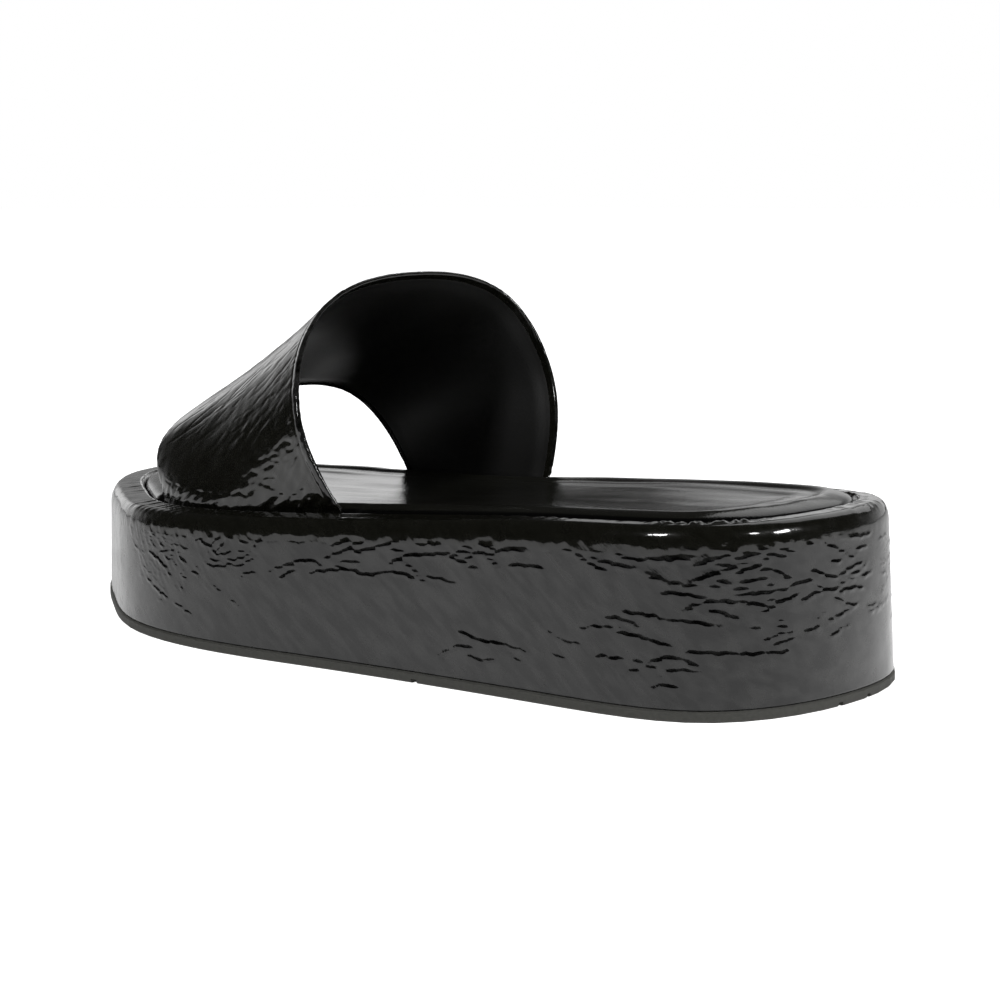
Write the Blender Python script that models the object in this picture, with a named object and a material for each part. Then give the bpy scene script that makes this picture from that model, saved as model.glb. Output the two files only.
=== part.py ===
"""A platform slide sandal for the left foot, in four pieces.

The toe points to -Y and the heel to +Y, the outer side is +X and up is +Z.
Sizes are in millimetres, and they become metres when a mesh is made.
"""

import math
from collections import namedtuple

import bmesh
import bpy
import numpy as np
from mathutils import Matrix

MM = 0.001

# Clearance between pieces that touch
GAP = 0.3

# Outline of the sole on the ground: x to the outer side, and the distance in front of the heel tip
SOLE_LENGTH = 265.0
OutlinePoint = namedtuple("OutlinePoint", "place x from_heel")
OUTLINE = (
    OutlinePoint("heel tip", 0.0, 0.0),
    OutlinePoint("outer heel round", 37.5, 13.2),
    OutlinePoint("outer heel", 47.0, 47.7),
    OutlinePoint("outer waist", 55.2, 119.0),
    OutlinePoint("outer ball", 60.0, 162.5),
    OutlinePoint("little toe", 54.2, 193.0),
    OutlinePoint("outer toe side", 37.8, 220.3),
    OutlinePoint("outer toe round", 18.6, 245.5),
    OutlinePoint("toe tip", -19.0, 265.0),
    OutlinePoint("inner toe round", -38.5, 250.0),
    OutlinePoint("big toe", -48.7, 216.0),
    OutlinePoint("inner ball", -50.4, 190.0),
    OutlinePoint("inner waist", -46.3, 125.0),
    OutlinePoint("inner heel", -47.0, 47.7),
    OutlinePoint("inner heel round", -37.5, 13.2),
)
RING_POINTS = 88
FINE_POINTS = 2000

# Height of the rolled top edge along the shoe
DeckPoint = namedtuple("DeckPoint", "place from_heel height")
DECK = (
    DeckPoint("toe tip", 265.0, 31.0),
    DeckPoint("ball", 190.0, 33.4),
    DeckPoint("waist", 132.5, 36.5),
    DeckPoint("front of the heel", 55.0, 42.2),
    DeckPoint("heel tip", 0.0, 44.6),
)

# The bottom leaves the ground a little under the tip of the toe
TOE_SPRING = 1.5
TOE_SPRING_LENGTH = 32.0

# Flat faces are filled with rings drawn in toward a middle line that stops short of the toe and the heel
SHRINK_STEPS = (0.72, 0.42, 0.14)
SPINE_TOE = 62.0
SPINE_HEEL = 50.0

# Outsole and its tread
OUTSOLE_THICKNESS = 2.6
OUTSOLE_BEVEL = 0.4
TREAD_WIDTH = 2.4
TREAD_DEPTH = 1.0
TREAD_MARGIN = 11.0
TreadArea = namedtuple("TreadArea", "place first_y last_y grooves")
TREAD = (
    TreadArea("forefoot", -86.0, -26.0, 7),
    TreadArea("heel", 62.0, 104.0, 5),
)
Notch = namedtuple("Notch", "place x y runs_along")
NOTCHES = (
    Notch("outer waist", 46.0, 43.5, "x"),
    Notch("heel tip", -3.0, 130.5, "y"),
    Notch("inner heel", -15.0, 128.5, "y"),
)
NOTCH_LENGTH = 10.0
NOTCH_WIDTH = 1.6

# Platform wall and rolled edge: insets are measured from the ground outline
WALL_FOOT_INSET = 1.1
WALL_FOOT_ROUND = 0.7
WALL_FLARE_HEEL = 2.0
WALL_FLARE_TOE = 0.2
ROLL_DROP = 5.0
ROLL_INNER = 10.5
ROLL_STEPS = 4
SEAT_DEPTH = 3.5

# Footbed: heights are measured from the rolled edge
PAD_RISE = 1.5
PAD_RIM_WIDTH = 3.6
PAD_RIM_START = -0.6
PAD_RIM_STEPS = 4
PAD_DISH = 1.2
PadStep = namedtuple("PadStep", "place in_from_edge below_rim")
PAD_TOP = (
    PadStep("rim flat", 6.6, 0.0),
    PadStep("pressed line, outer lip", 8.2, 0.2),
    PadStep("pressed line, floor", 9.0, 0.8),
    PadStep("pressed line, inner lip", 9.8, 0.3),
    PadStep("inner panel", 12.0, 0.2),
)

# Upper band: x and z of each section are read looking from the heel, the lean carries it toward the toe
BAND_WALL = 1.8
BAND_FOOT_CLEARANCE = 0.4
BAND_FOOT_RISE = 0.5
BAND_EDGE_ROUND = 0.7
BAND_EDGE_SEGMENTS = 2
BAND_EDGE_ANGLE = math.radians(60)
BAND_ROWS = 10
BAND_POINTS = 41
BandRow = namedtuple("BandRow", "outer_foot_y inner_foot_y outer_side outer_shoulder crown"
                                " inner_shoulder inner_side lean lean_growth")
BAND_FRONT = BandRow(-60.6, -47.2, (40.0, 45.0), (28.2, 54.3), (-10.0, 61.0),
                     (-32.1, 56.2), (-37.6, 47.2), 0.55, 0.0)
BAND_MIDDLE = BandRow(-25.2, -19.0, (43.9, 50.8), (31.7, 65.6), (-11.5, 75.4),
                      (-38.6, 67.6), (-43.4, 55.4), 0.50, 0.0005)
BAND_REAR = BandRow(10.2, 9.3, (48.3, 57.5), (36.3, 79.0), (-12.9, 93.4),
                    (-46.6, 82.2), (-50.0, 65.0), 0.45, 0.0009)

# The footbed's edge steps back where the feet of the band go down beside it
RECESS_MARGIN = 3.2
RECESS_RAMP = 5.0

SHARP_EDGE_ANGLE = math.radians(40)

Finish = namedtuple("Finish", "colour roughness coat")
FINISHES = {
    "outsole": Finish((0.050, 0.050, 0.045), 0.75, 0.0),
    "platform": Finish((0.010, 0.010, 0.011), 0.16, 1.0),
    "footbed": Finish((0.014, 0.014, 0.014), 0.38, 0.2),
    "upper_band": Finish((0.010, 0.010, 0.011), 0.16, 1.0),
}


def clear_scene():
    """Remove every object that the file opened with."""
    for item in list(bpy.data.objects):
        bpy.data.objects.remove(item, do_unlink=True)


def spline_bends(nodes, steps, closed):
    """Second derivatives of the cubic spline through the nodes."""
    count = len(nodes)
    matrix = np.eye(count)
    right = np.zeros_like(nodes)
    slopes = np.diff(nodes, axis=0) / steps[:, None]
    for k in range(1, count - 1):
        matrix[k, k - 1:k + 2] = (steps[k - 1], 2 * (steps[k - 1] + steps[k]), steps[k])
        right[k] = 6 * (slopes[k] - slopes[k - 1])
    if closed:
        matrix[0, 0] = 2 * (steps[-1] + steps[0])
        matrix[0, 1] = steps[0]
        matrix[0, count - 2] = steps[-1]
        right[0] = 6 * (slopes[0] - slopes[-1])
        matrix[count - 1, 0] = -1
    return np.linalg.solve(matrix, right)


def spline(knots, nodes, at, closed=False):
    """Cubic spline through the nodes, read at the given places between the knots."""
    steps = np.diff(knots)
    bends = spline_bends(nodes, steps, closed)
    k = np.clip(np.searchsorted(knots, at, side="right") - 1, 0, len(steps) - 1)
    step = steps[k][:, None]
    after = (at - knots[k])[:, None] / step
    before = 1 - after
    bend = (before ** 3 - before) * bends[k] + (after ** 3 - after) * bends[k + 1]
    return before * nodes[k] + after * nodes[k + 1] + bend * step ** 2 / 6


def smooth_curve(points, shares, closed=False):
    """Points of a smooth curve through the given points, at shares of its length from 0 to 1."""
    nodes = np.array(points, dtype=float)
    if closed:
        nodes = np.vstack([nodes, nodes[:1]])
    lengths = np.linalg.norm(np.diff(nodes, axis=0), axis=1)
    knots = np.concatenate([[0.0], np.cumsum(lengths)])
    return spline(knots, nodes, np.asarray(shares) * knots[-1], closed)


FINE_SHARES = np.linspace(0.0, 1.0, FINE_POINTS, endpoint=False)
PATTERN = [(point.x, SOLE_LENGTH / 2 - point.from_heel) for point in OUTLINE]
PATTERN_FINE = smooth_curve(PATTERN, FINE_SHARES, closed=True)
CENTRE = (PATTERN_FINE.max(axis=0) + PATTERN_FINE.min(axis=0)) / 2
HALF_LENGTH = (PATTERN_FINE[:, 1].max() - PATTERN_FINE[:, 1].min()) / 2


def outline(shares, inset=0.0):
    """Points of the sole's outline, moved inward by the inset, with its middle at the origin."""
    nudge = 1e-4
    points = smooth_curve(PATTERN, shares, closed=True)
    ahead = smooth_curve(PATTERN, (shares + nudge) % 1.0, closed=True)
    behind = smooth_curve(PATTERN, (shares - nudge) % 1.0, closed=True)
    along = ahead - behind
    along /= np.linalg.norm(along, axis=1)[:, None]
    outward = np.column_stack([-along[:, 1], along[:, 0]])
    return points - CENTRE - np.asarray(inset).reshape(-1, 1) * outward


def side_points(inset, side):
    """Fine outline points of one side, +1 outer or -1 inner, sorted from toe to heel."""
    points = outline(FINE_SHARES, inset)
    points = points[points[:, 0] * side > 0]
    return points[np.argsort(points[:, 1])]


def side_x(y, inset, side):
    """Where one side of the outline lies at a given y."""
    points = side_points(inset, side)
    return np.interp(y, points[:, 1], points[:, 0])


def share_at(y, side):
    """Share of the outline's length at which the groove passes a given y on one side."""
    points = outline(FINE_SHARES, ROLL_INNER)
    on_side = points[:, 0] * side > 0
    nearest = np.argmin(np.abs(points[on_side, 1] - y))
    return FINE_SHARES[on_side][nearest]


def deck(y):
    """Height of the rolled edge."""
    places = np.array([SOLE_LENGTH / 2 - point.from_heel for point in DECK])
    heights = np.array([[point.height] for point in DECK])
    return spline(places, heights, np.atleast_1d(y))[:, 0]


def ground(y):
    """Height of the sole's bottom, which rises softly under the tip of the toe."""
    share = np.clip((TOE_SPRING_LENGTH - HALF_LENGTH - y) / TOE_SPRING_LENGTH, 0.0, 1.0)
    return TOE_SPRING * share ** 2


def wall_top_inset(y):
    """The wall stands a little wider at the ground, more so at the heel."""
    share = (y + HALF_LENGTH) / (2 * HALF_LENGTH)
    return WALL_FOOT_INSET - WALL_FOOT_ROUND + WALL_FLARE_TOE + (WALL_FLARE_HEEL - WALL_FLARE_TOE) * share


def band_feet(side):
    """First and last y of the band's foot on one side."""
    if side > 0:
        feet = (BAND_FRONT.outer_foot_y, BAND_REAR.outer_foot_y)
    else:
        feet = (BAND_FRONT.inner_foot_y, BAND_REAR.inner_foot_y)
    return feet[0] - CENTRE[1], feet[1] - CENTRE[1]


def recess_stations():
    """Where the footbed's recess for the band starts and ends, on each side."""
    stations = []
    for side in (1, -1):
        front, rear = band_feet(side)
        for y, away in ((front, -1), (rear, 1)):
            stations.append((y + away * RECESS_MARGIN, side))
            stations.append((y + away * (RECESS_MARGIN + RECESS_RAMP), side))
    return stations


def ring_shares():
    """Even shares round the outline, with the ends of the recess added."""
    even = np.linspace(0.0, 1.0, RING_POINTS, endpoint=False)
    extra = [share_at(y, side) for y, side in recess_stations()]
    return np.sort(np.concatenate([even, extra]))


SHARES = ring_shares()
GROOVE = outline(SHARES, ROLL_INNER)


def ring(inset, height):
    """One closed ring of the sole: an inset outline at a height that depends on y."""
    points = outline(SHARES, inset)
    return np.column_stack([points, height(points[:, 1])])


def shrunk_ring(inset, factor, height):
    """A ring drawn in toward the middle line of the sole."""
    points = outline(SHARES, inset)
    spine_y = np.clip(points[:, 1], SPINE_TOE - HALF_LENGTH, HALF_LENGTH - SPINE_HEEL)
    spine_x = (side_x(spine_y, 0.0, 1) + side_x(spine_y, 0.0, -1)) / 2
    spine = np.column_stack([spine_x, spine_y])
    points = spine + factor * (points - spine)
    return np.column_stack([points, height(points[:, 1])])


def make_material(name):
    """Principled material of one piece."""
    finish = FINISHES[name]
    material = bpy.data.materials.new(name)
    material.use_nodes = True
    shader = material.node_tree.nodes["Principled BSDF"]
    shader.inputs["Base Color"].default_value = (*finish.colour, 1.0)
    shader.inputs["Roughness"].default_value = finish.roughness
    shader.inputs["Metallic"].default_value = 0.0
    shader.inputs["Coat Weight"].default_value = finish.coat
    return material


def make_object(name, bm):
    """Turn a bmesh in millimetres into a named, shaded object in metres."""
    bmesh.ops.scale(bm, vec=(MM, MM, MM), verts=bm.verts)
    bmesh.ops.recalc_face_normals(bm, faces=bm.faces)
    mesh = bpy.data.meshes.new(name)
    bm.to_mesh(mesh)
    bm.free()
    mesh.shade_smooth()
    mesh.set_sharp_from_angle(angle=SHARP_EDGE_ANGLE)
    item = bpy.data.objects.new(name, mesh)
    bpy.context.scene.collection.objects.link(item)
    return item


def close_end(bm, loop):
    """Close a ring with a strip of faces that run across the sole, from the heel to the toe."""
    count = len(loop)
    for k in range((count - 1) // 2):
        corners = (loop[k], loop[k + 1], loop[count - 2 - k], loop[count - 1 - k])
        bm.faces.new(list(dict.fromkeys(corners)))


def loft(name, rings):
    """Closed solid through a stack of rings, capped at both ends."""
    bm = bmesh.new()
    loops = [[bm.verts.new(point) for point in points] for points in rings]
    for lower, upper in zip(loops, loops[1:]):
        for k, corner in enumerate(lower):
            after = (k + 1) % len(lower)
            bm.faces.new((corner, lower[after], upper[after], upper[k]))
    close_end(bm, loops[0])
    close_end(bm, loops[-1])
    item = make_object(name, bm)
    item.data.materials.append(make_material(name))
    return item


def tread_boxes():
    """Centre and size of each tread groove and edge notch, as seen from below."""
    boxes = []
    for area in TREAD:
        for y in np.linspace(area.first_y, area.last_y, area.grooves):
            left = side_x(y, TREAD_MARGIN, -1)
            right = side_x(y, TREAD_MARGIN, 1)
            boxes.append(((left + right) / 2, y, right - left, TREAD_WIDTH))
    for notch in NOTCHES:
        size = (NOTCH_LENGTH, NOTCH_WIDTH) if notch.runs_along == "x" else (NOTCH_WIDTH, NOTCH_LENGTH)
        boxes.append((notch.x, notch.y, *size))
    return boxes


def make_tread_cutter():
    """All the tread's grooves as one cutter under the outsole."""
    bm = bmesh.new()
    for x, y, width, length in tread_boxes():
        place = Matrix.Translation((x, y, 0.0))
        place = place @ Matrix.Diagonal((width, length, 2 * TREAD_DEPTH, 1.0))
        bmesh.ops.create_cube(bm, size=1.0, matrix=place)
    cutter = make_object("tread_cutter", bm)
    cutter.hide_render = True
    cutter.display_type = "WIRE"
    return cutter


def make_outsole():
    """Thin rubber sheet, flat underneath apart from its tread and the toe spring."""
    def top(y):
        return ground(y) + OUTSOLE_THICKNESS

    def side(y):
        return ground(y) + OUTSOLE_BEVEL

    def upper_side(y):
        return ground(y) + OUTSOLE_THICKNESS - OUTSOLE_BEVEL

    rings = [shrunk_ring(OUTSOLE_BEVEL, factor, ground) for factor in reversed(SHRINK_STEPS)]
    rings.append(ring(OUTSOLE_BEVEL, ground))
    rings.append(ring(0.0, side))
    rings.append(ring(0.0, upper_side))
    rings.append(ring(OUTSOLE_BEVEL, top))
    rings += [shrunk_ring(OUTSOLE_BEVEL, factor, top) for factor in SHRINK_STEPS]
    outsole = loft("outsole", rings)
    cut = outsole.modifiers.new("tread", "BOOLEAN")
    cut.operation = "DIFFERENCE"
    cut.solver = "EXACT"
    cut.object = make_tread_cutter()
    return outsole


def make_platform():
    """Wedge block with an upright wall, a rolled top edge and a sunk seat for the footbed."""
    def bottom(y):
        return ground(y) + OUTSOLE_THICKNESS + GAP

    def wall_foot(y):
        return bottom(y) + WALL_FOOT_ROUND

    def seat(y):
        return deck(y) - SEAT_DEPTH

    rings = [shrunk_ring(WALL_FOOT_INSET, factor, bottom) for factor in reversed(SHRINK_STEPS)]
    rings.append(ring(WALL_FOOT_INSET, bottom))
    rings.append(ring(WALL_FOOT_INSET - WALL_FOOT_ROUND, wall_foot))
    outer = wall_top_inset(outline(SHARES)[:, 1])
    crown = (outer + ROLL_INNER) / 2
    reach = (ROLL_INNER - outer) / 2
    for angle in np.linspace(0.0, math.pi, 2 * ROLL_STEPS + 1):
        drop = ROLL_DROP if angle < math.pi / 2 else SEAT_DEPTH
        rings.append(ring(crown - reach * math.cos(angle),
                          lambda y: deck(y) - drop * (1 - math.sin(angle))))
    rings += [shrunk_ring(ROLL_INNER, factor, seat) for factor in SHRINK_STEPS]
    return loft("platform", rings)


def pad_edge_inset():
    """Inset of the footbed's edge, stepped back beside the feet of the band."""
    tight = ROLL_INNER + GAP
    stepped = ROLL_INNER + BAND_FOOT_CLEARANCE + BAND_WALL + GAP
    inset = np.full(len(GROOVE), tight)
    for side in (1, -1):
        front, rear = band_feet(side)
        before = (GROOVE[:, 1] - front + RECESS_MARGIN + RECESS_RAMP) / RECESS_RAMP
        after = (rear + RECESS_MARGIN + RECESS_RAMP - GROOVE[:, 1]) / RECESS_RAMP
        share = np.clip(np.minimum(before, after), 0.0, 1.0) * (GROOVE[:, 0] * side > 0)
        inset = np.maximum(inset, tight + (stepped - tight) * share)
    return inset


def make_footbed():
    """Padded insole with a rounded rim, a pressed line and a slightly dished middle."""
    edge = pad_edge_inset()

    def above_deck(rise):
        return lambda y: deck(y) + rise

    underside = GAP - SEAT_DEPTH
    rings = [shrunk_ring(edge, factor, above_deck(underside)) for factor in reversed(SHRINK_STEPS)]
    rings.append(ring(edge, above_deck(underside)))
    for angle in np.linspace(0.0, math.pi / 2, PAD_RIM_STEPS + 1):
        rise = PAD_RIM_START + (PAD_RISE - PAD_RIM_START) * math.sin(angle)
        rings.append(ring(edge + PAD_RIM_WIDTH * (1 - math.cos(angle)), above_deck(rise)))
    for step in PAD_TOP:
        rings.append(ring(edge + step.in_from_edge, above_deck(PAD_RISE - step.below_rim)))
    panel = PAD_TOP[-1]
    for factor in SHRINK_STEPS:
        dished = PAD_RISE - panel.below_rim - PAD_DISH * (1 - factor ** 2)
        rings.append(shrunk_ring(edge + panel.in_from_edge, factor, above_deck(dished)))
    return loft("footbed", rings)


def band_section(share):
    """Outer points of one section of the band, from the outer foot over the crown to the inner foot."""
    weights = ((1 - share) * (1 - 2 * share), 4 * share * (1 - share), share * (2 * share - 1))
    columns = []
    for values in zip(BAND_FRONT, BAND_MIDDLE, BAND_REAR):
        columns.append(sum(weight * np.array(value) for weight, value in zip(weights, values)))
    row = BandRow(*columns)
    foot_tops = []
    for side, foot_y in ((1, row.outer_foot_y - CENTRE[1]), (-1, row.inner_foot_y - CENTRE[1])):
        x = side_x(foot_y, ROLL_INNER + BAND_FOOT_CLEARANCE, side)
        foot_tops.append(np.array([x, deck(foot_y)[0] + BAND_FOOT_RISE]))
    shift = np.array([CENTRE[0], 0.0])
    arch = [row.outer_side, row.outer_shoulder, row.crown, row.inner_shoulder, row.inner_side]
    arch = [point - shift for point in arch]
    along = np.linspace(0.0, 1.0, BAND_POINTS)
    curve = smooth_curve([foot_tops[0], *arch, foot_tops[1]], along)
    foot_y = row.outer_foot_y + (row.inner_foot_y - row.outer_foot_y) * along - CENTRE[1]
    rise = curve[:, 1] - foot_tops[0][1] - (foot_tops[1][1] - foot_tops[0][1]) * along
    y = foot_y - row.lean * rise - row.lean_growth * rise ** 2
    points = np.column_stack([curve[:, 0], y, curve[:, 1]])
    sunk = np.array([0.0, 0.0, BAND_FOOT_RISE + SEAT_DEPTH - GAP])
    return np.vstack([points[0] - sunk, points, points[-1] - sunk])


def make_upper_band():
    """One bent wall over the foot, open at the toe, at the heel and underneath."""
    bm = bmesh.new()
    rows = []
    for share in np.linspace(0.0, 1.0, BAND_ROWS + 1):
        rows.append([bm.verts.new(point) for point in band_section(share)])
    for front, rear in zip(rows, rows[1:]):
        for k in range(len(front) - 1):
            bm.faces.new((front[k], rear[k], rear[k + 1], front[k + 1]))
    band = make_object("upper_band", bm)
    if band.data.polygons[BAND_POINTS // 2].normal.z < 0:
        band.data.flip_normals()
    wall = band.modifiers.new("wall", "SOLIDIFY")
    wall.thickness = BAND_WALL * MM
    wall.offset = -1.0
    wall.use_even_offset = True
    edges = band.modifiers.new("turned edges", "BEVEL")
    edges.width = BAND_EDGE_ROUND * MM
    edges.segments = BAND_EDGE_SEGMENTS
    edges.limit_method = "ANGLE"
    edges.angle_limit = BAND_EDGE_ANGLE
    band.data.materials.append(make_material("upper_band"))
    return band


def main():
    """Build the four pieces from the ground up."""
    clear_scene()
    make_outsole()
    make_platform()
    make_footbed()
    make_upper_band()


main()
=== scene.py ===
# %% [markdown]
# # A platform slide sandal in black patent leather
#
# The shoe has four pieces: a rubber outsole, a thick platform wrapped in crinkled patent leather, a padded
# footbed and one wide band over the foot. The solids that carry them are already built at their real size,
# so this lesson only dresses them. Patent leather is a mirror, and a mirror shows every small slope, so most
# of the work is in soft creases that are really there in the mesh.

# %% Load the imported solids
import math
from collections import namedtuple

import bpy
import numpy as np
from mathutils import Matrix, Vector


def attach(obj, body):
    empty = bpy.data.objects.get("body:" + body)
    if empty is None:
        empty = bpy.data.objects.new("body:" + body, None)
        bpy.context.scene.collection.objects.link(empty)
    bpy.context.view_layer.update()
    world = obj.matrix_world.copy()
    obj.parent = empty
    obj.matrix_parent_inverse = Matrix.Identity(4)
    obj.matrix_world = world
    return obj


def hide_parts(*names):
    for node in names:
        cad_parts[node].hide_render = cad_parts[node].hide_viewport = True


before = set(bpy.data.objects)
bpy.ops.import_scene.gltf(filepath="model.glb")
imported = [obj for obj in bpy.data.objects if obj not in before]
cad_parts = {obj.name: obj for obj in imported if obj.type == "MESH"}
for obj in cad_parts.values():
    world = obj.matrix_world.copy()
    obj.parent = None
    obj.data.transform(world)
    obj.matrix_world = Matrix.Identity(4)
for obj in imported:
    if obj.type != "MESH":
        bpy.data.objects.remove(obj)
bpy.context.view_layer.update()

MM = 0.001
print("solids:", sorted(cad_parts))

# %% [markdown]
# ## The shape of the sole
#
# A mirror finish needs a finer and smoother mesh than a collision solid has. One way is to subdivide the
# solid, but that rounds off its outline. The better way is to draw the same outline again as a spline
# through the same few named points, and to read it as finely as each piece needs. The toe points to -Y, the
# outer side is +X, and sizes are in millimetres until a mesh is made.

# %% Sizes of the sole
SOLE_LENGTH = 265.0
OutlinePoint = namedtuple("OutlinePoint", "place x from_heel")
OUTLINE = (
    OutlinePoint("heel tip", 0.0, 0.0),
    OutlinePoint("outer heel round", 37.5, 13.2),
    OutlinePoint("outer heel", 47.0, 47.7),
    OutlinePoint("outer waist", 55.2, 119.0),
    OutlinePoint("outer ball", 60.0, 162.5),
    OutlinePoint("little toe", 54.2, 193.0),
    OutlinePoint("outer toe side", 37.8, 220.3),
    OutlinePoint("outer toe round", 18.6, 245.5),
    OutlinePoint("toe tip", -19.0, 265.0),
    OutlinePoint("inner toe round", -38.5, 250.0),
    OutlinePoint("big toe", -48.7, 216.0),
    OutlinePoint("inner ball", -50.4, 190.0),
    OutlinePoint("inner waist", -46.3, 125.0),
    OutlinePoint("inner heel", -47.0, 47.7),
    OutlinePoint("inner heel round", -37.5, 13.2),
)
DeckPoint = namedtuple("DeckPoint", "place from_heel height")
DECK = (
    DeckPoint("toe tip", 265.0, 31.0),
    DeckPoint("ball", 190.0, 33.4),
    DeckPoint("waist", 132.5, 36.5),
    DeckPoint("front of the heel", 55.0, 42.2),
    DeckPoint("heel tip", 0.0, 44.6),
)
TOE_SPRING = 1.5
TOE_SPRING_LENGTH = 32.0
SOLE_THICKNESS = 2.6
GAP = 0.3
print("outline points:", len(OUTLINE), "and deck points:", len(DECK))


# %% Smooth curves through a few points
def spline_bends(nodes, steps, closed):
    """Second derivatives of the cubic spline through the nodes."""
    count = len(nodes)
    matrix = np.eye(count)
    right = np.zeros_like(nodes)
    slopes = np.diff(nodes, axis=0) / steps[:, None]
    for k in range(1, count - 1):
        matrix[k, k - 1:k + 2] = (steps[k - 1], 2 * (steps[k - 1] + steps[k]), steps[k])
        right[k] = 6 * (slopes[k] - slopes[k - 1])
    if closed:
        matrix[0, 0] = 2 * (steps[-1] + steps[0])
        matrix[0, 1] = steps[0]
        matrix[0, count - 2] = steps[-1]
        right[0] = 6 * (slopes[0] - slopes[-1])
        matrix[count - 1, 0] = -1
    return np.linalg.solve(matrix, right)


def spline(knots, nodes, at, closed=False):
    """Cubic spline through the nodes, read at the given places between the knots."""
    steps = np.diff(knots)
    bends = spline_bends(nodes, steps, closed)
    k = np.clip(np.searchsorted(knots, at, side="right") - 1, 0, len(steps) - 1)
    step = steps[k][:, None]
    after = (at - knots[k])[:, None] / step
    before = 1 - after
    bend = (before ** 3 - before) * bends[k] + (after ** 3 - after) * bends[k + 1]
    return before * nodes[k] + after * nodes[k + 1] + bend * step ** 2 / 6


def smooth_curve(points, shares, closed=False):
    """Points of a smooth curve through the given points, at shares of its length from 0 to 1."""
    nodes = np.array(points, dtype=float)
    if closed:
        nodes = np.vstack([nodes, nodes[:1]])
    lengths = np.linalg.norm(np.diff(nodes, axis=0), axis=1)
    knots = np.concatenate([[0.0], np.cumsum(lengths)])
    return spline(knots, nodes, np.asarray(shares) * knots[-1], closed)


# %% Outline and heights of the sole
FINE_POINTS = 4000
FINE_SHARES = np.linspace(0.0, 1.0, FINE_POINTS, endpoint=False)
PATTERN = [(point.x, SOLE_LENGTH / 2 - point.from_heel) for point in OUTLINE]
PATTERN_FINE = smooth_curve(PATTERN, FINE_SHARES, closed=True)
CENTRE = (PATTERN_FINE.max(axis=0) + PATTERN_FINE.min(axis=0)) / 2
HALF_LENGTH = (PATTERN_FINE[:, 1].max() - PATTERN_FINE[:, 1].min()) / 2


def outline(shares, inset=0.0):
    """Points of the sole's outline, moved inward by the inset, with its middle at the origin."""
    nudge = 1e-4
    points = smooth_curve(PATTERN, shares, closed=True)
    ahead = smooth_curve(PATTERN, (shares + nudge) % 1.0, closed=True)
    behind = smooth_curve(PATTERN, (shares - nudge) % 1.0, closed=True)
    along = ahead - behind
    along /= np.linalg.norm(along, axis=1)[:, None]
    outward = np.column_stack([-along[:, 1], along[:, 0]])
    return points - CENTRE - np.asarray(inset).reshape(-1, 1) * outward


def side_x(y, inset, side):
    """Where one side of the outline lies at a given y: side is +1 for the outer and -1 for the inner."""
    points = outline(FINE_SHARES, inset)
    points = points[points[:, 0] * side > 0]
    points = points[np.argsort(points[:, 1])]
    return np.interp(y, points[:, 1], points[:, 0])


def deck(y):
    """Height of the rolled edge."""
    places = np.array([SOLE_LENGTH / 2 - point.from_heel for point in DECK])
    heights = np.array([[point.height] for point in DECK])
    y = np.asarray(y, dtype=float)
    return spline(places, heights, y.ravel())[:, 0].reshape(y.shape)


def ground(y):
    """Height of the sole's bottom, which rises softly under the tip of the toe."""
    share = np.clip((TOE_SPRING_LENGTH - HALF_LENGTH - y) / TOE_SPRING_LENGTH, 0.0, 1.0)
    return TOE_SPRING * share ** 2


print("middle of the outline in mm:", CENTRE.round(2), "half length:", round(HALF_LENGTH, 2))


# %% [markdown]
# ## Soft ripples and creases
#
# Patent leather is leather under a glassy lacquer. When it is pulled round a form it buckles into short,
# sharp wrinkles that run across the pull. Sculpting them by hand would work once, and a bump map would not
# change the outline. Here a crease is a soft trough along a jagged line, with a place, a length, a rise, a
# bow and a strength, in the shoe's own millimetres, so that a table of them reads like a list of
# measurements.

# %% Fields that move a surface
def soft_step(values, start, end):
    """0 before start, 1 after end and smooth between them."""
    share = np.clip((values - start) / (end - start), 0.0, 1.0)
    return share * share * (3 - 2 * share)


def ripples(points, length, seed, waves=36):
    """A smooth random field of about unit height over points, with waves of about the given length."""
    dice = np.random.default_rng(seed)
    field = np.zeros(points.shape[:-1])
    for k in range(waves):
        way = dice.normal(size=3)
        way *= 2 * math.pi / (length * dice.uniform(0.7, 1.5) * np.linalg.norm(way))
        field += np.cos(points @ way + dice.uniform(0.0, 2 * math.pi))
    return field * math.sqrt(2.0 / waves)


def zigzag(values):
    """A wave of straight teeth between -1 and 1."""
    return 2 * np.abs((values / math.pi) % 2 - 1) - 1


print("ripple check:", ripples(np.eye(3) * 5.0, 6.0, seed=1).round(2))


# %% Depth of a set of creases
Crease = namedtuple("Crease", "along up half rise bow strength")
CREASE_OVERRUN = 0.6
CREASE_FADE = 1.3
CREASE_LIFT = 0.6
CREASE_TEETH = ((1.7, 1.0), (2.9, 0.7))


def crease_field(creases, along, up, width, wiggle, seed):
    """Depth of a set of creases, from 0 to about 1: each is a trough that fades out at its ends."""
    dice = np.random.default_rng(seed)
    field = np.zeros(np.broadcast(along, up).shape)
    for crease in creases:
        phases = dice.uniform(0.0, 2 * math.pi, len(CREASE_TEETH))
        steep = math.hypot(1.0, crease.rise / crease.half)
        reach = crease.half + CREASE_OVERRUN / steep
        near = np.abs(along - crease.along) < reach
        share = (along[near] - crease.along) / crease.half
        thin = width * steep * (0.6 + 0.4 * crease.strength)
        middle = crease.up + crease.rise * share + crease.bow * share ** 2 + CREASE_LIFT * thin
        for (turns, size), phase in zip(CREASE_TEETH, phases):
            middle += size * wiggle * zigzag(along[near] * turns + phase)
        fade = np.clip((reach - np.abs(along[near] - crease.along)) * steep / CREASE_FADE, 0.0, 1.0)
        trough = fade * math.sqrt(crease.strength) * np.exp(-((up[near] - middle) / thin) ** 2)
        field[near] = np.maximum(field[near], trough)
    return field


print("a crease has", len(Crease._fields), "measures:", Crease._fields)

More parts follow.
